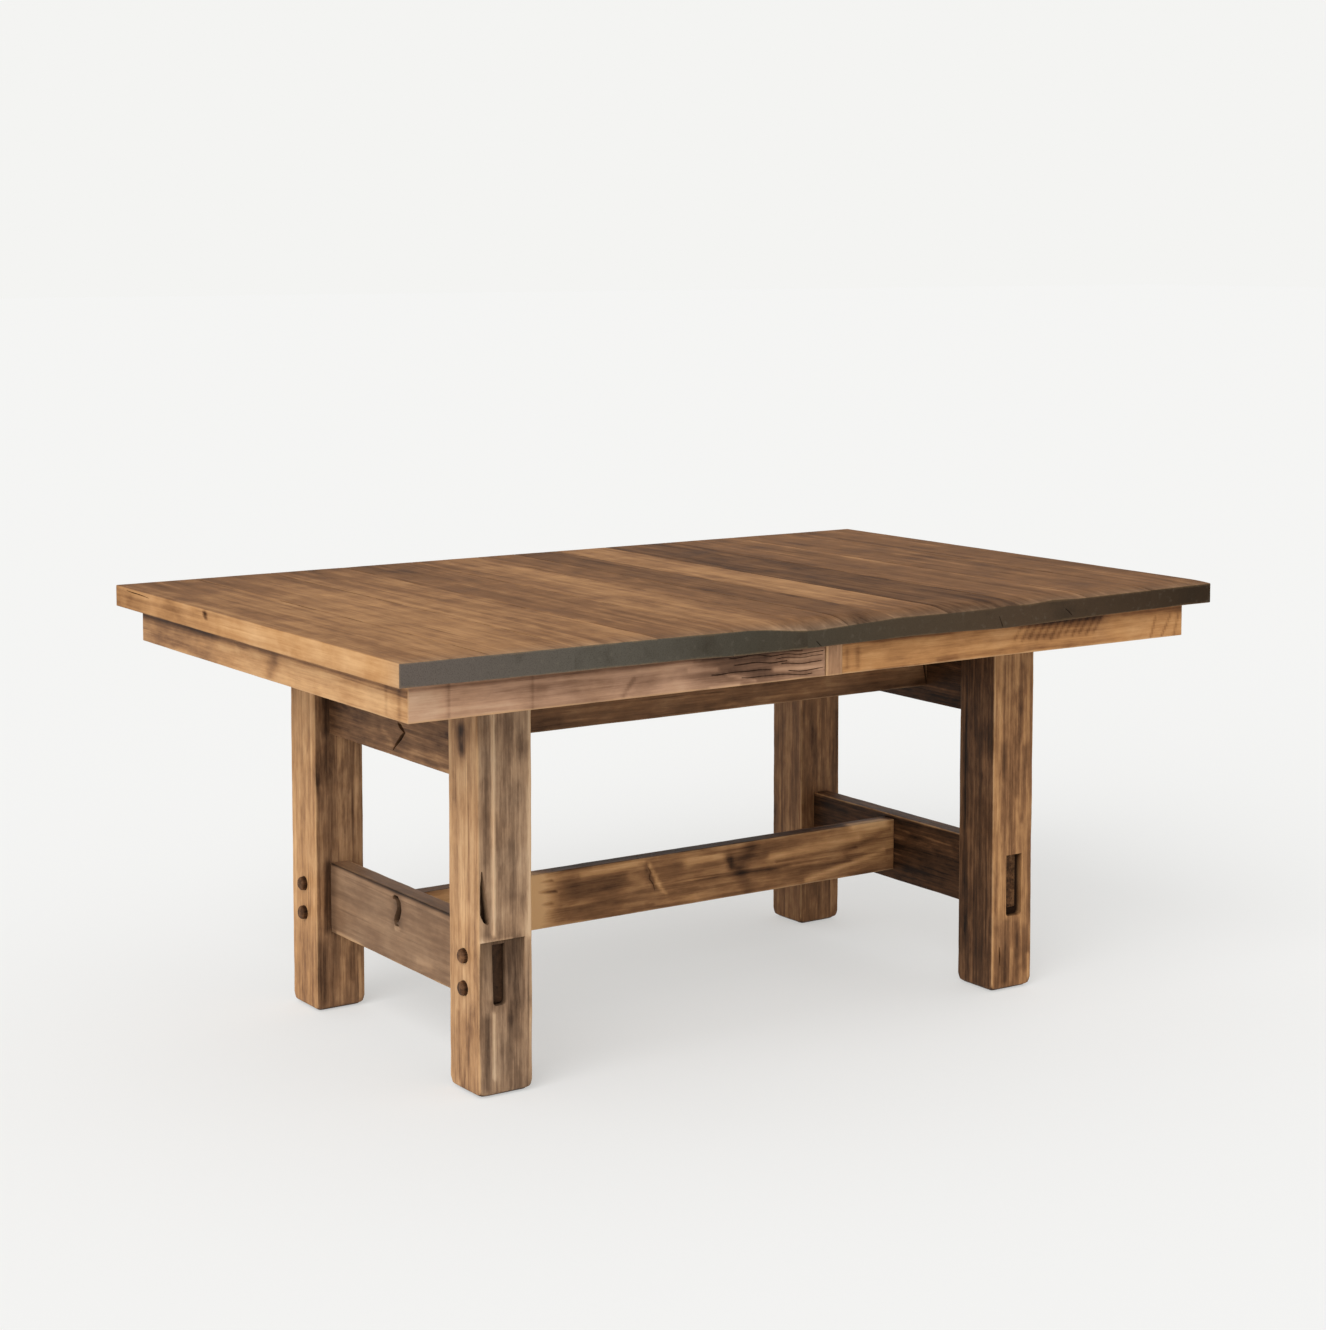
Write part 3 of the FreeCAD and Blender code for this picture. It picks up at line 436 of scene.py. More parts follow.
LEG_LOOKS = {
    "leg_front_left": {
        "mouth": (-565, -541, 150, 251),
        "swell": (1.5, 3.5),
        "tones": (0.76, 0.42, 0.705, 0.40, 0.3, 0.3),
        "greys": (0.25, 0.3, 0.75, 0.3, 0.3, 0.3),
        "stains_and_shade": on_face(1, -340, [
            (-563.5, 268, -563.5, 640, 3, 0.5), (-545, 390, -544, 440, 2.5, 0.16), (-519, 506, -525, 480, 14, -0.14),
            (-533, 410, -530, 330, 16, -0.16), (-514, 323, -512, 300, 9, -0.16), (-540, 610, -510, 570, 22, -0.16),
            (-495, 260, -494, 650, 4.5, 0.42), (-563.5, 138, -563.5, 33, 3.2, 0.34), (-577, 130, -578, 16, 8, -0.3),
            (-530, 125, -520, 100, 16, -0.26), (-535, 70, -515, 10, 26, -0.2), (-495, 10, -495, 140, 4, 0.24),
            # The dark stroke from (-540, 655) to (-500, 655) is painted shade under the apron.
            (-540, 655, -500, 655, 12, -0.2),
        ]) + on_face(1, -338, [
            (-552, 165, -552, 240, 26, -0.22), (-517, 150, -517, 244, 16, -0.3), (-589, 259, -530, 258, 2.6, 0.4),
            (-571, 165, -571, 245, 3.5, 0.16),
        ]) + on_face(0, -591, [
            (-310, 544, -307, 322, 2.5, -0.2), (-288, 598, -288, 566, 13, -0.6), (-288, 586, -288, 580, 4, 0.24),
            (-290, 650, -290, 600, 22, -0.14), (-292, 100, -292, 10, 40, -0.12), (-273, 130, -275, 20, 4, -0.2),
            (-262, 520, -264, 480, 6, -0.14), (-325, 620, -325, 300, 3, 0.1),
        ]) + [
            (-577, -339, 270, -576, -339, 640, 8, -0.2), (-577, -339, 390, -576, -339, 560, 8, -0.14),
        ],
        "check": [
            (-573, 286, 2), (-577, 293, 7), (-580, 305, 10), (-582, 325, 8), (-584, 350, 5), (-585, 374, 1.5),
        ],
        "check_depth": 15,
    },
    "leg_back_left": {
        "mouth": (-562, -536, 151, 251),
        "tones": (0.77, 0.42, 0.60, 0.55, 0.3, 0.3),
        "greys": (0.1, 0.3, 0.3, 0.3, 0.3, 0.3),
        # The dark strokes at x -567 beside the end stretcher and the upper rail are painted shade in those joints.
        "stains_and_shade": on_face(1, 244, [
            (-587, 416, -576, 372, 5, -0.15), (-559, 640, -559, 290, 9, -0.12), (-516, 287, -507, 420, 4, 0.14),
            (-538, 12, -538, 90, 5, 0.22), (-523, 54, -523, 110, 4, -0.18), (-505, 16, -507, 90, 5, 0.2),
            (-580, 120, -575, 20, 12, -0.16), (-545, 655, -520, 600, 25, -0.16), (-567, 268, -567, 150, 9, -0.34),
            (-567, 655, -567, 508, 8, -0.28), (-586, 655, -586, 420, 5, -0.25), (-535, 100, -535, 5, 45, -0.13),
        ]) + on_face(0, -591, [
            (303, 449, 303, 300, 3, -0.12), (272, 600, 272, 369, 3, -0.1), (292, 120, 292, 10, 45, -0.1),
        ]),
    },
    "leg_front_right": {
        "mouth": (529, 566, 139, 254),
        "tones": (0.28, 0.58, 0.60, 0.34, 0.3, 0.3),
        "greys": (0.15, 0.2, 0.0, 0.3, 0.3, 0.3),
        "stains_and_shade": on_face(1, -340, [
            (497, 10, 496, 650, 4, 0.14), (520, 610, 521, 400, 5, -0.2), (557, 560, 552, 366, 7, -0.2),
            (570, 450, 566, 316, 6, -0.18), (562, 600, 562, 560, 8, -0.14), (556, 123, 556, 60, 6, -0.2),
            (583, 60, 586, 15, 4, 0.3), (575, 110, 575, 40, 10, -0.24), (544, 76, 544, 20, 4, 0.15),
            (530, 130, 528, 20, 6, -0.26), (510, 120, 512, 20, 12, -0.1), (587, 640, 587, 120, 5, -0.12),
            (508, 560, 506, 300, 4, 0.1), (540, 90, 540, 20, 40, -0.1),
        ]) + [
            (495, -296, 509, 495, -302, 124, 5, 0.1), (495, -262, 600, 495, -264, 100, 6, -0.08),
        ],
        "check": [(514, 84, 1), (515, 66, 2.6), (516, 48, 1)],
        "check_depth": 9,
    },
    "leg_back_right": {
        "mouth": (536, 562, 151, 251),
        "tones": (0.525, 0.56, 0.47, 0.54, 0.3, 0.3),
        "greys": (0.15, 0.2, 0.1, 0.3, 0.3, 0.3),
        "stains_and_shade": [
            (495, 290, 640, 495, 290, 100, 4, 0.1), (495, 318, 640, 495, 318, 100, 4, 0.1),
            (495, 262, 640, 495, 266, 200, 7, -0.1), (540, 244, 640, 540, 244, 100, 5, 0.1),
            (575, 244, 640, 575, 244, 100, 8, -0.1),
        ],
    },
}


def foot_lip(place):
    """More wear round a foot."""
    return FOOT_EASE * max(0, 1 - place.z / FOOT_HEIGHT)


STRIP_EDGE = -563.5
STRIP_LEVELS = (261, 642)
STRIP_DEPTH = 1.3
HOUSING_SIDES = (-589, -505)
HOUSING_LEVELS = (143, 257)
HOUSING_DEPTHS = (0.4, 4.6)
STEP_REACH = 4 * MM
STEP_LINES = [(0, place * MM) for place in (-589.4, -588.6, -563.9, -563.1, -505.4, -504.6)]
STEP_LINES += [(2, place * MM) for place in (143, 256.6, 257.4, 262, 641.6, 642.4)]


def stepped(shape, front):
    """Sinks two parts of the front left leg's face: a strip beside its outer arris, and a housing
    round the slot that deepens upwards."""
    lowest, highest = HOUSING_LEVELS
    for vert in [vert for vert in shape.verts if vert.co.y < front + STEP_REACH]:
        across, level = vert.co.x / MM, vert.co.z / MM
        if across < STRIP_EDGE and STRIP_LEVELS[0] < level < STRIP_LEVELS[1]:
            vert.co.y += STRIP_DEPTH * MM
        if HOUSING_SIDES[0] < across < HOUSING_SIDES[1] and lowest <= level < highest:
            share = (level - lowest) / (highest - lowest)
            vert.co.y += (HOUSING_DEPTHS[0] * (1 - share) + HOUSING_DEPTHS[1] * share) * MM


for seed, (node, looks) in enumerate(LEG_LOOKS.items(), 1):
    low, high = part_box(node)
    end_sign = 1 if low.x > 0 else -1
    end_face = high.x if low.x > 0 else low.x
    swell = looks.get("swell", (0, 0))
    low.x -= swell[0] * MM
    high.x += swell[1] * MM
    extra = [(0, end_face - end_sign * inset) for inset in FACE_LINES]
    if node == "leg_front_left":
        extra += STEP_LINES
    shape = weathered(sawn(low, high, LEG_SPACING, extra), low, high, LEG_EASE, LEG_HOLLOW, seed, foot_lip)
    if node == "leg_front_left":
        stepped(shape, low.y)
    leg = as_object(node.replace("leg", "post"), shape)
    cutter = bmesh.new()
    outer_face = high.y if low.y > 0 else low.y
    out_sign = 1 if low.y > 0 else -1
    mouth_left, mouth_right, mouth_bottom, mouth_top = [edge * MM for edge in looks["mouth"]]
    slot_sides = sorted(end_face - end_sign * inset for inset in (SLOT_OUTSET, SLOT_OUTSET + SLOT_WIDTH))
    slot_rows = sorted((outer_face - out_sign * SLOT_RECESS, low.y + high.y - outer_face - out_sign * CHECK_PROUD))
    mouth_rows = sorted((outer_face - out_sign * (SLOT_RECESS + MM), outer_face + out_sign * CHECK_PROUD))
    slot_low, slot_high = zip(slot_sides, slot_rows, (SLOT_BOTTOM, SLOT_TOP))
    blank(Vector(slot_low), Vector(slot_high), cutter)
    mouth_low, mouth_high = zip((mouth_left, mouth_right), mouth_rows, (mouth_bottom, mouth_top))
    mouth = blank(Vector(mouth_low), Vector(mouth_high))
    foot = [edge for edge in mouth.edges if all(vert.co.z < mouth_bottom + MM for vert in edge.verts)]
    foot = [edge for edge in foot if abs(edge.verts[0].co.y - edge.verts[1].co.y) > MM]
    bmesh.ops.bevel(mouth, geom=foot, offset=SLOT_ROUND, segments=4, profile=0.5, affect="EDGES", material=-1)
    joined(cutter, mouth)
    for level in PEG_LEVELS:
        bored(cutter, (end_face, (low.y + high.y) / 2, level), PEG_HOLE_RADIUS, PEG_HOLE_DEPTH, PEG_HOLE_FACETS)
    if "check" in looks:
        check(cutter, 1, low.y, -1, looks["check"], looks["check_depth"] * MM)
    carve(leg, cutter)
    marked(leg, low, high, 2, seed, looks["tones"], looks["greys"], looks["stains_and_shade"])
    fitted(leg, node, leg_timber, "base")

# End stretchers and upper end rails
# Each end has a low board on edge and a deep rail under the top, tenoned into the two legs.
# The low boards' tenons stop short of the legs' outer faces, so the slots stay open and dark.
rail_timber = timber("rail_timber", 1, fine=1.2)
smooth_timber = timber("smooth_timber", 1, figure=0.45, fine=0.45)
RAIL_SPACING = Vector((5, 6, 4)) * MM
RAIL_EASE = 2 * MM
TENON_OVERLAP = 4 * MM
TENON_PLAY = 1 * MM
KNOT_DEPTH = 15 * MM
KNOT_TAPER = 0.2
END_BOARDS = {
    "end_stretcher_left": {
        "tones": (0.55, 0.40, 0.12, 0.12, 0.4, 0.54), "greys": (0.65, 0.4, 0.3, 0.3, 0.4, 0.5),
        "tenon": (151, 251), "lift": 0,
        "stains_and_shade": on_face(0, -562, [
            (240, 269.5, -240, 269.5, 2.6, -0.5), (222, 147, 140, 146, 4, 0.22), (-125, 167, -80, 165, 7, 0.1),
            # The light stroke from (-1, 205) to (-14, 207) is a painted highlight on the knot's lower lip.
            (-1, 205, -14, 207, 4, 0.3), (-9, 255, -8, 215, 14, -0.2), (235, 260, 235, 150, 14, -0.14),
        ]),
        "check": [
            (9, 256, 2.5), (2, 259, 4), (-7, 257.5, 6), (-13, 250, 8), (-14.5, 241, 8.5), (-11, 231, 8.5),
            (-4, 222, 8), (0.5, 216, 5), (-2, 211.5, 3), (-12, 211, 1.5),
        ],
    },
    "end_stretcher_right": {
        "tones": (0.17, 0.5, 0.24, 0.12, 0.3, 0.3), "greys": (0.0, 0.3, 0.0, 0.3, 0.3, 0.1),
        "tenon": (151, 251), "lift": 0,
        "stains_and_shade": [(526, -240, 271, 526, 240, 271, 2.5, 0.5)],
    },
    "upper_rail_left": {
        "tones": (0.42, 0.40, 0.3, 0.3, 0.4, 0.4), "greys": (0.2, 0.3, 0.3, 0.3, 0.3, 0.3),
        "tenon": (519.5, 643.5), "lift": 1.5,
        "stains_and_shade": on_face(0, -562, [
            (40, 545, 10, 530, 8, 0.14), (230, 620, 230, 520, 25, -0.14), (100, 512, -200, 510, 4, 0.16),
            (-65, 525, -200, 530, 5, 0.1), (190, 565, 110, 545, 45, -0.06), (-70, 545, -220, 530, 45, 0.06),
        ]),
        "check": [(-14, 565, 1.5), (-24, 560, 5), (-38, 551, 4.5), (-25, 540, 4.5), (-6, 524, 2.6), (4, 514, 0.8)],
    },
    "upper_rail_right": {
        "tones": (0.22, 0.44, 0.3, 0.3, 0.3, 0.3), "greys": (0.0, 0.3, 0.3, 0.3, 0.3, 0.3),
        "tenon": (519.5, 643.5), "lift": 4,
        "stains_and_shade": [(526, -230, 530, 526, 60, 560, 8, 0.1)],
    },
}


def edged_board(node, low, high, spacing, seed):
    """A worn board on edge between its shoulders."""
    shape = weathered(sawn(low, high, spacing), low, high, RAIL_EASE, LEG_HOLLOW, seed)
    return as_object(node.replace("stretcher", "board").replace("rail", "board"), shape)


def split(board, axis, level, spine, depth, taper=CHECK_TAPER):
    """Cuts one check or knot into a face of a board."""
    cutter = bmesh.new()
    check(cutter, axis, level, -1, spine, depth, taper)
    carve(board, cutter)


def tenoned(board, axis, low, high, shoulder):
    """Adds a tenon at both ends of a board, from its shoulders out to the given box."""
    tenons = bmesh.new()
    tenons.from_mesh(board.data)
    for near, far in ((low[axis], -shoulder + TENON_OVERLAP), (shoulder - TENON_OVERLAP, high[axis])):
        tenon_low, tenon_high = low.copy(), high.copy()
        tenon_low[axis], tenon_high[axis] = near, far
        blank(tenon_low, tenon_high, tenons)
    tenons.to_mesh(board.data)
    tenons.free()


for seed, (node, looks) in enumerate(END_BOARDS.items(), 11):
    low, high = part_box(node)
    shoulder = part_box(node.replace("end_stretcher", "leg_back").replace("upper_rail", "leg_back"))[0].y
    board_low = Vector((low.x, -shoulder, low.z + looks["lift"] * MM))
    board_high = Vector((high.x, shoulder, high.z))
    board = edged_board(node, board_low, board_high, RAIL_SPACING, seed)
    if "check" in looks:
        split(board, 0, low.x, looks["check"], KNOT_DEPTH, KNOT_TAPER)
    tenon_side = low.x if low.x < 0 else high.x - SLOT_WIDTH
    bottom, top = [level * MM for level in looks["tenon"]]
    tenon_low = Vector((tenon_side + TENON_PLAY, low.y, bottom + TENON_PLAY))
    tenon_high = Vector((tenon_side + SLOT_WIDTH - TENON_PLAY, high.y, top - TENON_PLAY))
    tenoned(board, 1, tenon_low, tenon_high, shoulder)
    marked(board, low, high, 1, seed, looks["tones"], looks["greys"], looks["stains_and_shade"])
    fitted(board, node, smooth_timber if node == "end_stretcher_left" else rail_timber, "base")

# Centre stretcher and long rails
# One low board on edge ties the two ends together, and two rails carry the slides under the top.
# Their stub tenons are hidden in the end boards.
long_timber = timber("long_timber", 0, figure=1.3)
LONG_SPACING = Vector((7, 4, 4)) * MM
STUB_CHEEK = 8 * MM
STUB_FOOT = 14 * MM
STUB_HEAD = 30 * MM
SPLIT_DEPTH = 7 * MM
LONG_BOARDS = {
    "centre_stretcher": {
        "tones": (0.3, 0.3, 0.54, 0.5, 0.4, 0.24), "greys": (0.2, 0.2, 0.0, 0.2, 0.2, 0.2),
        "stains_and_shade": on_face(1, -16, [
            (-520, 215, -312, 215, 50, 0.3), (-310, 170, -310, 260, 44, 0.7), (-288, 231, -247, 228.5, 2.6, -0.45),
            (-286, 250, -253, 249.5, 2.2, -0.4), (-276, 207, -252, 206.5, 2.4, -0.35),
            (-215, 225, -125, 222, 24, -0.12), (-190, 250, -60, 256, 6, 0.24), (-46, 250, -40, 236, 3.5, 0.3),
            (-36, 230, -27, 212, 4, 0.34), (-24, 206, -12, 192, 3.5, 0.3), (-56, 250, -34, 205, 4, -0.2),
            (-30, 175, 60, 172, 4, 0.14), (-90, 235, -60, 220, 8, 0.14), (40, 243, 112, 246, 11, 0.3),
            (134, 236, 137, 222, 7, -0.42), (150, 218, 175, 176, 14, -0.2), (181, 250, 160, 215, 16, -0.2),
            (230, 230, 437, 238, 8, 0.24), (253, 203, 400, 206, 5, 0.2), (314, 172, 501, 205, 5, 0.32),
            (240, 217, 430, 221, 3, -0.18), (300, 190, 420, 195, 3, -0.16), (400, 212, 514, 245, 4, -0.16),
            (340, 215, 500, 215, 45, 0.07),
        ]) + [
            # A painted highlight: this pale stroke lightens the right end of the top face where the table top shades
            # it.
            (425, -8, 264, 500, -8, 264, 11, 0.9),
        ],
        "check": [(-50, 246, 0.4), (-44, 236, 1), (-47, 224, 0.7), (-38, 212, 1.1), (-35, 200, 0.5)],
    },
    "long_rail_front": {
        "tones": (0.3, 0.3, 0.42, 0.42, 0.36, 0.3), "greys": (0.2, 0.2, 0.15, 0.2, 0.2, 0.2),
        "drop": 4,
        "stains_and_shade": [(-420, -112, 560, -300, -112, 556, 10, -0.12), (0, -112, 556, 240, -112, 552, 6, 0.1)],
        "check": [(520, 600, 5), (520, 575, 5), (522, 560, 3.5), (524, 546, 1)],
    },
    "long_rail_back": {
        "tones": (0.3, 0.3, 0.40, 0.42, 0.36, 0.3), "greys": (0.2, 0.2, 0.2, 0.2, 0.2, 0.2),
    },
}

for seed, (node, looks) in enumerate(LONG_BOARDS.items(), 21):
    low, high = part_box(node)
    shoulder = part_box("end_stretcher_right")[0].x
    low.z -= looks.get("drop", 0) * MM
    board_low, board_high = Vector((-shoulder, low.y, low.z)), Vector((shoulder, high.y, high.z))
    board = edged_board(node, board_low, board_high, LONG_SPACING, seed)
    if "check" in looks:
        split(board, 1, low.y, looks["check"], SPLIT_DEPTH)
    stub_low = low + Vector((0, STUB_CHEEK, STUB_FOOT))
    stub_high = high - Vector((0, STUB_CHEEK, STUB_HEAD))
    tenoned(board, 0, stub_low, stub_high, shoulder)
    marked(board, low, high, 0, seed, looks["tones"], looks["greys"], looks.get("stains_and_shade", []))
    fitted(board, node, long_timber, "base")

# Pegs
# Eight whittled pins of dark wood, driven through the legs' end faces into the tenons.
# Their uneven crowns stand a little proud.
peg_timber = timber("peg_timber", 0)
PEG_RINGS = ((-70, 11.6), (-2, 12.2), (4.4, 12.5), (7.4, 12), (9.3, 9.8), (10.2, 6))
PEG_FACETS = 14
PEG_RADIUS = 12.5 * MM
PEG_CROWN = 8 * MM
CROWN_PALE = 6.5 * MM
CROWN_UNEVEN = 1.2
WHITTLE_WAVE = 6 * MM
CROWN_WAVE = 9 * MM
peg_low, peg_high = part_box("stretcher_pegs")
peg_middle = peg_high.y - PEG_RADIUS
peg_shapes = bmesh.new()
for number, (side, row, level) in enumerate((s, r, v) for s in (-1, 1) for r in (-1, 1) for v in PEG_LEVELS):
    leg_face = side * (peg_high.x - PEG_CROWN)
    turn = Matrix.Rotation(side * math.pi / 2, 4, "Y")
    centre = Vector((leg_face, row * peg_middle, level))
    depth, radius = PEG_RINGS[0]
    foot = Matrix.Translation(centre + Vector((side * depth * MM, 0, 0))) @ turn
    disc = {"cap_ends": True, "segments": PEG_FACETS, "radius": radius * MM, "matrix": foot}
    ring = bmesh.ops.create_circle(peg_shapes, **disc)["verts"]
    face = list(set(ring[0].link_faces) & set(ring[1].link_faces))[0]
    for depth, radius in PEG_RINGS[1:]:
        grown = bmesh.ops.extrude_face_region(peg_shapes, geom=[face])["geom"]
        face = [part for part in grown if isinstance(part, bmesh.types.BMFace)][0]
        for vert in face.verts:
            across = vert.co - centre
            across.x = 0
            whittled = 0.9 + 0.13 * rough(vert.co, WHITTLE_WAVE, number * 3)
            vert.co = centre + across.normalized() * radius * MM * whittled
            uneven = CROWN_UNEVEN * (rough(vert.co, CROWN_WAVE, number) - 0.5)
            vert.co.x = leg_face + side * MM * (depth + uneven)
pegs = as_object("whittled_pins", peg_shapes)
marked(pegs, peg_low, peg_high, 0, 31, (0.3,) * 6, (0,) * 6)
for name in ("hollow", "end", "wear"):
    pegs.data.attributes[name].data.foreach_set("value", np.zeros(len(pegs.data.vertices), np.float32))
outwards = np.array([abs(vert.co.x) for vert in pegs.data.vertices])
peg_tones = 0.1 + 0.16 * (outwards > peg_high.x - PEG_CROWN + CROWN_PALE)
pegs.data.attributes["tone"].data.foreach_set("value", peg_tones.astype(np.float32))
fitted(pegs, "stretcher_pegs", peg_timber, "base")

# Slides and their gearing
# Planed hardwood beams on the base and runners under each half slide in each other's dovetails.
# Zinc-plated racks in the runners and a pinion between them let both halves part alike.
planed_timber = timber("planed_timber", 0, base=0.86, gloss=0.45, figure=0.6, arris=1.5 * MM)


def zinc_steel(name):
    """Zinc-plated steel with a fine brushed grain, dull spots and rubbed bright edges."""
    material = bpy.data.materials.new(name)
    material.use_nodes = True
    shader = material.node_tree.nodes["Principled BSDF"]
    start = Tint(material.node_tree)
    place = start.node("ShaderNodeTexCoord", output="Object")
    drawn = start.node("ShaderNodeMapping", {}, {"Vector": place, "Scale": (0.1, 1, 1)})
    brushed = start.node("ShaderNodeTexNoise", {}, {"Vector": drawn, "Scale": 1500, "Detail": 2})
    cloudy = start.node("ShaderNodeTexNoise", {}, {"Vector": place, "Scale": 90, "Detail": 4})
    rubbed = near_arris(start, 0.8 * MM)
    colour = (cloudy.step(0.4, 0.65)).mix(paint(150, 150, 147), paint(184, 184, 180))
    colour = (rubbed * 0.7).mix(colour, paint(214, 213, 208))
    colour.feeds(shader, "Base Color")
    shader.inputs["Metallic"].default_value = 1
    (0.3 + cloudy * 0.2 + brushed * 0.15).feeds(shader, "Roughness")
    bump = {"Height": brushed, "Strength": 0.15, "Distance": 0.2 * MM}
    start.node("ShaderNodeBump", {}, bump).feeds(shader, "Normal")
    return material


steel = zinc_steel("zinc_steel")
KEPT_SLIDES = ["slide_beam_" + row for row in ("front", "back")]
KEPT_SLIDES += [f"slide_runner_{row}_{half}" for row in ("front", "back") for half in ("left", "right")]
KEPT_STEEL = ["slide_beam_screws", "runner_screws_left", "runner_screws_right"]
KEPT_STEEL += ["pinion_pins", "pinion_front", "pinion_back"]
KEPT_STEEL += [f"rack_{row}_{half}" for row in ("front", "back") for half in ("left", "right")]


def finished(names, material):
    """Gives CAD nodes that stay in view their material."""
    for name in names:
        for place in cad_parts[name].material_slots:
            place.material = material


finished(KEPT_SLIDES, planed_timber)
finished(KEPT_STEEL, steel)

# Top boards
# Twelve thick boards laid crosswise, six to each half, glued edge to edge and parted at the middle.
# Their ends make the long edges of the top, which are worn, chipped and dark.
TOP_SPACING = Vector((9, 13, 7)) * MM
OUTER_EASE = 1.6 * MM
JOINT_DROP = 0.5 * MM
TOP_HOLLOW = 0.5 * MM


def slate_ends(start, place, patches, lines, mottle):
    """The boards' ends: slate grey at the left of the table, darkening to brown at the right, and scuffed."""
    along = start.node("ShaderNodeSeparateXYZ", {}, {0: place}, "X")
    spot = along * 0.56 + 0.5 + (patches - 0.5) * 0.12
    stops = [
        (0.03, paint(100, 91, 84)), (0.22, paint(90, 85, 76)), (0.39, paint(70, 65, 55)),
        (0.56, paint(74, 63, 50)), (0.72, paint(76, 61, 47)), (0.97, paint(54, 42, 31)),
    ]
    colour = start.node("ShaderNodeValToRGB", {"stops": stops}, {0: spot})
    colour = (lines.step(0.45, 0.7) * 0.3 + patches.step(0.5, 0.72) * 0.4).mix(colour, paint(48, 41, 33))
    return (mottle.step(0.54, 0.72) * 0.15).mix(colour, paint(122, 112, 98))


top_timber = timber(
    "top_timber", 1, edge=slate_ends, gloss=0.5, shine=0.006, figure=0.8, fine=0.5, cloud=0.42, rub=0.12,
)
BOARD_TONES = {
    "left_1": 0.60, "left_2": 0.62, "left_3": 0.585, "left_4": 0.49, "left_5": 0.54, "left_6": 0.465,
    "right_1": 0.385, "right_2": 0.60, "right_3": 0.34, "right_4": 0.44, "right_5": 0.44, "right_6": 0.44,
}
top_low, top_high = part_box("top_board_left_1")[0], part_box("top_board_right_6")[1]
TOP_SEED = 40
SEAM_CLOSED = 0.27 * MM
TOUCHING = 0.01 * MM
DOWEL_ROWS = (-388.8 * MM, 0, 388.8 * MM)
DOWEL_HOLE_RADIUS = 5.3 * MM
DOWEL_HOLE_DEPTH = 15.6 * MM
DOWEL_HOLE_FACETS = 24
FRONT_WEAR_REACH = 60 * MM
HANG_REACH = 34 * MM
WORN_EDGE = (
    (-840, 0), (-500, 1), (-320, 2), (-200, 3.5), (-165, 5.5), (-110, 11.5), (-68, 14.5), (-20, 12.5), (60, 9.5),
    (105, 7), (240, 8.5), (320, 8), (345, 6), (400, 7), (450, 3.5), (520, 5.5), (630, 4.5), (840, 2.5),
)
RAGGED_EDGE = (
    (-840, 0), (-600, 2), (-320, 3), (-230, 5.5), (-50, 5.5), (140, 3), (220, 4), (343, 7), (413, 6), (580, 2.5),
    (770, 0),
)


def worn_front(mesh):
    """Wears the front of the top down in shallow waves, deepest near the middle, greys it with dust,
    and lets its lower arris hang uneven in front of the apron."""
    places = np.zeros(len(mesh.vertices) * 3)
    mesh.vertices.foreach_get("co", places)
    places = places.reshape(-1, 3)
    inwards = places[:, 1] - top_low.y
    dip = np.interp(places[:, 0] / MM, *zip(*WORN_EDGE))
    fade = (1 - inwards / FRONT_WEAR_REACH).clip(0, 1) ** 2
    share = ((places[:, 2] - top_low.z) / (top_high.z - top_low.z)).clip(0, 1)
    hang = np.interp(places[:, 0] / MM, *zip(*RAGGED_EDGE)) * (1 - inwards / HANG_REACH).clip(0, 1)
    places[:, 2] -= MM * (dip * fade * share + hang * (1 - share))
    mesh.vertices.foreach_set("co", places.ravel())
    grey = np.zeros(len(places), np.float32)
    mesh.attributes["grey"].data.foreach_get("value", grey)
    grey += (fade * 0.05 * (6 + dip)).astype(np.float32)
    mesh.attributes["grey"].data.foreach_set("value", grey)


TOP_SHADE = [(-840, 560, 762, -430, 560, 762, 250, -0.15)]
TOP_STAINS = {
    "left_1": [
        (-840, 146, 755, -840, 150, 754, 5, -0.7), (-840, -371, 745, -840, -200, 748, 2, -0.14),
        (-840, 480, 742, -840, 100, 742, 12, -0.1), (-772, 500, 762, -772, 0, 762, 30, -0.05),
    ],
    "left_5": [(-142, 540, 762, -142, -540, 762, 40, 0.09)],
    "right_2": [(155, -540, 762, 155, -480, 762, 95, -0.16)],
    "right_4": [(527, 540, 762, 527, -540, 762, 20, 0.12)],
}
TOP_CHECKS = {
    "left_1": (0, -1, [(490, 757, 0.7), (460, 756, 1.6), (425, 755.5, 1.4), (390, 754, 0.6)], 5),
    "left_6": (1, -1, [(-50, 718, 0.6), (-58, 728, 1.2), (-66, 738, 1)], 3),
    "right_3": (1, -1, [(342, 716, 1.2), (336, 730, 1.4), (329, 746, 0.8)], 4),
    "right_4": (1, -1, [(499, 731, 0.8), (492, 738, 1.2), (482, 745, 0.7)], 3),
}
for seed, (name, tone) in enumerate(BOARD_TONES.items(), 41):
    node = "top_board_" + name
    low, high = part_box(node)
    if name == "left_6":
        high.x += SEAM_CLOSED
    if name == "right_1":
        low.x -= SEAM_CLOSED
    shape = sawn(low, high, TOP_SPACING)
    joint = [
        vert for vert in shape.verts
        if min(vert.co.x - low.x, high.x - vert.co.x) < TOUCHING and vert.co.z > high.z - TOUCHING
    ]
    weathered(shape, top_low, top_high, OUTER_EASE, TOP_HOLLOW, TOP_SEED)
    bmesh.ops.translate(shape, vec=(0, 0, -JOINT_DROP), verts=joint)
    board = as_object("plank_" + name, shape)
    cutter = bmesh.new()
    if name in TOP_CHECKS:
        axis, outward, spine, depth = TOP_CHECKS[name]
        check(cutter, axis, low[axis], outward, spine, depth * MM)
    for row in DOWEL_ROWS if name == "right_1" else ():
        mouth = (low.x, row, (low.z + high.z) / 2)
        bored(cutter, mouth, DOWEL_HOLE_RADIUS, DOWEL_HOLE_DEPTH, DOWEL_HOLE_FACETS)
    if cutter.verts:
        carve(board, cutter)
    else:
        cutter.free()
    tones, greys = (0.83, 0.7, tone, tone, 0.5, tone), (0.05, 0.1, 0.2, 0.2, 0.3, 0.05)
    stains_and_shade = TOP_SHADE + TOP_STAINS.get(name, [])
    marked(board, top_low, top_high, 1, seed, tones, greys, stains_and_shade, (low, high))
    worn_front(board.data)
    fitted(board, node, top_timber, name.split("_")[0] + "_top")

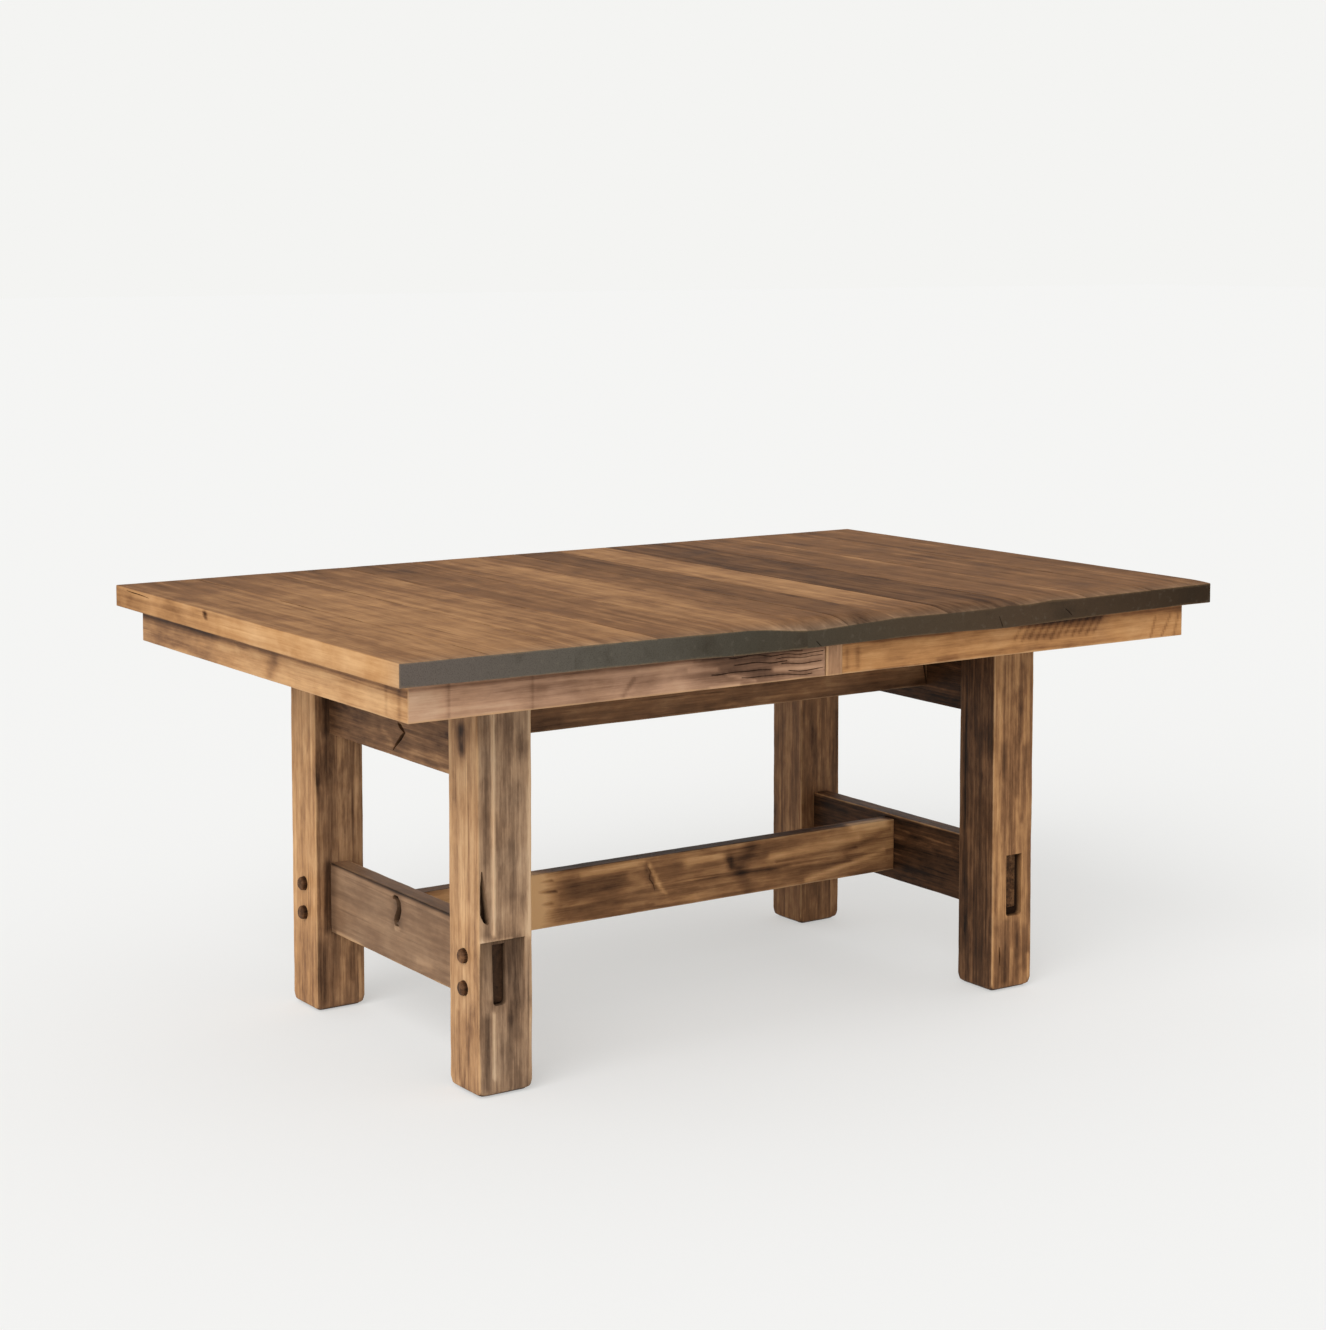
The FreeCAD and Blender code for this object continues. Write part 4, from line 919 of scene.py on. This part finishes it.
# Aprons, seam battens and corner blocks
# Boards on edge set back under the top, mitred at the corners. Each long side is in two halves,
# and an upright batten on the right half covers the seam.
APRON_BROWN = [paint(36, 21, 11), paint(84, 54, 31), paint(135, 91, 55), paint(186, 134, 84), paint(219, 167, 111)]
apron_timber = timber("apron_timber", 0, browns=APRON_BROWN)
end_apron_timber = timber("end_apron_timber", 1)
APRON_SPACING = Vector((4, 4, 3.5)) * MM
APRON_EASE = 1.4 * MM
APRON_HOLLOW = LEG_HOLLOW * 0.6
MITRE_PAST = 40 * MM
MITRE_PROUD = 10 * MM
BATTEN_GAP = 3 * MM
BATTEN_SINK = 0.4 * MM
# Half width in millimetres of the painted shadow line that the top casts on the aprons.
SLAB_SHADOW_WIDTH = 4.5
PINK_GREY = [paint(40, 28, 22), paint(86, 62, 48), paint(138, 104, 82), paint(190, 150, 122), paint(216, 182, 152)]
pink_timber = timber("pink_timber", 0, greys=PINK_GREY, fine=0.65)
batten_timber = timber("batten_timber", 2, greys=PINK_GREY)
GRAIN_PACE = 12
GRAIN_WANDER = 11
GRAIN_SLOPE = 0.03
GRAIN_DEPTH = 3.6 * MM
WILD_GRAIN = (
    (709, 1.2, -270, -60), (703, 1.5, -215, -18), (697, 1.1, -120, -18), (691, 1.7, -205, -90), (687, 1.5, -110, -18),
    (679, 1.5, -250, -120), (675, 1.3, -95, -18), (669, 1.2, -190, -40),
)
APRONS = {
    "apron_front_left": {
        "tones": (0.6, 0.4, 0.75, 0.5, 0.5, 0.4), "greys": (0.6, 0.6, 0.85, 0.3, 0.3, 0.3),
        "stains_and_shade": on_face(1, -502, [
            (-736, 664, -736, 722, 2.2, -0.2), (-588, 664, -588, 722, 2.2, -0.14), (-235, 692, -20, 692, 50, -0.12),
            (-420, 667, -400, 693, 4, -0.16), (-335, 690, -310, 684, 22, 0.14), (-294, 697, -239, 693, 4, 0.2),
            (-218, 683, -163, 669, 3, 0.2), (-124, 683, -25, 677, 4.5, 0.24), (-252, 663, -195, 664, 3, 0.24),
            (-281, 709, -141, 704, 6, -0.12), (-650, 700, -600, 690, 30, -0.06), (-560, 690, -150, 690, 40, -0.15),
            (-800, 692, -760, 692, 30, 0.14),
        ]),
    },
    "apron_front_right": {
        "tones": (0.4, 0.6, 0.76, 0.5, 0.5, 0.4), "greys": (0.0, 0.1, 0.0, 0.3, 0.3, 0.3),
        "stains_and_shade": on_face(1, -502, [
            (27, 702, 27, 672, 4, -0.14), (50, 702, 50, 672, 5, -0.18),
            *[(x + 22, 716, x, 682 + x % 7, 3, -0.2) for x in range(398, 600, 17)],
            (400, 714, 600, 712, 8, -0.14), (440, 695, 600, 697, 26, -0.15),
            (738, 700, 727, 664, 2.6, -0.24), (776, 702, 754, 664, 2.6, -0.24),
            (796, 702, 785, 664, 2.6, -0.2), (264, 668, 225, 666, 6, -0.14),
        ]),
    },
    "apron_back_left": {"tones": (0.6, 0.4, 0.45, 0.62, 0.5, 0.4), "greys": (0.3,) * 6},
    "apron_back_right": {"tones": (0.4, 0.6, 0.45, 0.60, 0.5, 0.4), "greys": (0.15,) * 6},
    "apron_end_left": {
        "tones": (0.80, 0.45, 0.6, 0.6, 0.5, 0.4), "greys": (0.05, 0.3, 0.3, 0.3, 0.3, 0.3),
        "stains_and_shade": on_face(0, -805, [
            (-45, 694, -28, 676, 14, -0.22), (-434, 715, -434, 670, 5, -0.14), (-476, 715, -476, 670, 6, -0.16),
            (230, 692, 500, 692, 60, -0.24), (-420, 690, -120, 690, 40, 0.1),
        ]),
    },
    "apron_end_right": {"tones": (0.45, 0.66, 0.6, 0.6, 0.5, 0.4), "greys": (0.2,) * 6},
}

inner_x, inner_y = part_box("apron_end_right")[0].x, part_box("apron_back_right")[0].y
outer_x, outer_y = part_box("apron_end_right")[1].x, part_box("apron_back_right")[1].y
for seed, (node, looks) in enumerate(APRONS.items(), 61):
    low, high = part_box(node)
    lengthwise = "end" not in node
    spacing = APRON_SPACING if lengthwise else Vector((APRON_SPACING.y, APRON_SPACING.x, APRON_SPACING.z))
    shape = weathered(sawn(low, high, spacing), low, high, APRON_EASE, APRON_HOLLOW, seed)
    apron = as_object(node.replace("apron", "skirt"), shape)
    cutter = bmesh.new()
    for side_x in (-1, 1):
        for side_y in (-1, 1):
            if (side_x * (low.x + high.x) < 0) or (lengthwise and side_y * (low.y + high.y) < 0):
                continue
            mitre = [Vector((side_x * outer_x, side_y * outer_y, 0)), Vector((side_x * inner_x, side_y * inner_y, 0))]
            past = Vector((MITRE_PAST * side_x, 0, 0)) if lengthwise else Vector((0, MITRE_PAST * side_y, 0))
            run = mitre[0] - mitre[1]
            corners = [mitre[0] + run, mitre[1] - run, mitre[1] - run + past, mitre[0] + run + past]
            floor_ring = [cutter.verts.new(corner + Vector((0, 0, low.z - MITRE_PROUD))) for corner in corners]
            face = cutter.faces.new(floor_ring)
            raised = bmesh.ops.extrude_face_region(cutter, geom=[face])["geom"]
            raised = [part for part in raised if isinstance(part, bmesh.types.BMVert)]
            bmesh.ops.translate(cutter, vec=(0, 0, high.z - low.z + 2 * MITRE_PROUD), verts=raised)
    # The stroke at this level along each apron is painted shade: the top's shadow on the apron, set low enough to
    # show below the overhang.
    level = high.z / MM - (10 if lengthwise else 14)
    if lengthwise:
        batten_low, batten_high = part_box("seam_batten_" + node.split("_")[1])
        gap, sink = (BATTEN_GAP, BATTEN_SINK) if low.x < 0 else (0, 0)
        before, behind = (CHECK_PROUD, sink) if low.y < 0 else (sink, CHECK_PROUD)
        rebate_low = Vector((batten_low.x - gap, batten_low.y - before, low.z - CHECK_PROUD))
        rebate_high = Vector((batten_high.x + gap, batten_high.y + behind, high.z + CHECK_PROUD))
        blank(rebate_low, rebate_high, cutter)
        face_y = max(low.y, high.y, key=abs) / MM
        stains_and_shade = [(low.x / MM, face_y, level, high.x / MM, face_y, level, SLAB_SHADOW_WIDTH, -0.3)]
    else:
        face_x = max(low.x, high.x, key=abs) / MM
        stains_and_shade = [(face_x, low.y / MM, level, face_x, high.y / MM, level, SLAB_SHADOW_WIDTH, -0.4)]
    stains_and_shade += looks.get("stains_and_shade", [])
    if node == "apron_front_left":
        for level, width, first, last in WILD_GRAIN:
            spine = []
            for x in range(first, last, GRAIN_PACE):
                sway = GRAIN_WANDER * (rough(Vector((x, level, 0)), 48, 3) - 0.5) - (20 + x) * GRAIN_SLOPE
                spine.append((x, level + sway, width * (0.25 + rough(Vector((x, level, 5)), 30, 1))))
            check(cutter, 1, low.y, -1, spine, GRAIN_DEPTH)
            stains_and_shade += [(a[0], -502, a[1], b[0], -502, b[1], 3.4, -0.07) for a, b in zip(spine, spine[1:])]
    carve(apron, cutter)
    marked(apron, low, high, 0 if lengthwise else 1, seed, looks["tones"], looks["greys"], stains_and_shade)
    material = end_apron_timber if not lengthwise else pink_timber if node == "apron_front_left" else apron_timber
    fitted(apron, node, material, node.split("_")[2] + "_top")

BATTEN_SPACING = Vector((4, 3, 5)) * MM
BATTEN_EASE = 0.9 * MM
BATTEN_HOLLOW = 0.3 * MM
for seed, row in enumerate(("front", "back"), 71):
    node = "seam_batten_" + row
    low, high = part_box(node)
    shape = weathered(sawn(low, high, BATTEN_SPACING), low, high, BATTEN_EASE, BATTEN_HOLLOW, seed)
    batten = as_object("cover_strip_" + row, shape)
    # The pale stroke down the batten's left edge is a painted highlight.
    left_edge_highlight = [(low.x / MM, face, low.z / MM, low.x / MM, face, high.z / MM, 5, 0.16) for face in (-502, 502)]
    marked(batten, low, high, 2, seed, (0.6, 0.55, 0.55, 0.55, 0.6, 0.6), (0.5,) * 6, left_edge_highlight)
    fitted(batten, node, batten_timber, "right_top")

finished(("corner_blocks_left", "corner_blocks_right"), planed_timber)

# Locks and dowels
# Turning steel levers under the right half hook over pins on the left half and hold the seam shut.
# Three hardwood dowels in the left half's edge line the two halves up.
finished(("lock_plates", "lock_keepers", "lock_lever_front", "lock_lever_back"), steel)
finished(("alignment_dowels",), planed_timber)

# Floor, light and camera
# A plain pale floor under even soft light, seen from the left front a little above the top.
# The camera and mirror-like rays see the pale background, while the rest sees its light.
def seen_directly(start):
    """Is 1 where a ray from the camera, a mirror or glass meets the floor or the sky."""
    seen, mirrored, through = [
        start.node("ShaderNodeLightPath", output=f"Is {kind} Ray") for kind in ("Camera", "Glossy", "Transmission")
    ]
    return seen.math("MAXIMUM", mirrored).math("MAXIMUM", through)


FLOOR_REACH = 60
FLOOR_LIT = (0.92, 0.92, 0.91, 1)
FLOOR_SEEN = (0.466, 0.466, 0.466, 1)
FLOOR_GLOW = (0.449, 0.449, 0.437, 1)
NO_GLOW = (0, 0, 0, 1)
floor_shape = bmesh.new()
bmesh.ops.create_grid(floor_shape, x_segments=1, y_segments=1, size=FLOOR_REACH)
floor = as_object("floor", floor_shape)
floor_paint = bpy.data.materials.new("pale_floor")
floor_paint.use_nodes = True
floor_shader = floor_paint.node_tree.nodes["Principled BSDF"]
floor_seen = seen_directly(Tint(floor_paint.node_tree))
floor_seen.mix(FLOOR_LIT, FLOOR_SEEN).feeds(floor_shader, "Base Color")
floor_seen.mix(NO_GLOW, FLOOR_GLOW).feeds(floor_shader, "Emission Color")
floor_shader.inputs["Emission Strength"].default_value = 1
floor_shader.inputs["Roughness"].default_value = 0.9
floor_shader.inputs["Specular IOR Level"].default_value = 0
floor.data.materials.append(floor_paint)
floor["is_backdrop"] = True

SKY_LIGHT = (0.66, 0.66, 0.66, 1)
SKY_SEEN = paint(244, 244, 242)
sky = bpy.data.worlds.new("studio")
bpy.context.scene.world = sky
sky.use_nodes = True
background = sky.node_tree.nodes["Background"]
seen_directly(Tint(sky.node_tree)).mix(SKY_LIGHT, SKY_SEEN).feeds(background, "Color")

SUN_STRENGTH = 1.9
SUN_SPREAD = math.radians(50)
SUN_RUN = Vector((0.72, 0.42, -0.55))
sun = bpy.data.lights.new("window", "SUN")
sun.energy = SUN_STRENGTH
sun.angle = SUN_SPREAD
sun_object = bpy.data.objects.new("window", sun)
sun_object.rotation_euler = SUN_RUN.to_track_quat("-Z", "Y").to_euler()
bpy.context.scene.collection.objects.link(sun_object)

CAMERA_PLACE = Vector((-2655.9, -3934.4, 1379.4)) * MM
CAMERA_YAW = 0.5927
CAMERA_PITCH = 0.0843
FOCAL_PIXELS = 2623.1
SHIFT_PIXELS = 200
LONG_SIDE = 1330
SENSOR = 36
lens = bpy.data.cameras.new("camera")
lens.sensor_width = SENSOR
lens.lens = FOCAL_PIXELS / LONG_SIDE * SENSOR
lens.shift_y = -SHIFT_PIXELS / LONG_SIDE
camera = bpy.data.objects.new("camera", lens)
camera.location = CAMERA_PLACE
camera.rotation_euler = (math.pi / 2 - CAMERA_PITCH, 0, -CAMERA_YAW)
bpy.context.scene.collection.objects.link(camera)
bpy.context.scene.camera = camera
bpy.context.scene.view_settings.view_transform = "Standard"

low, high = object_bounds()
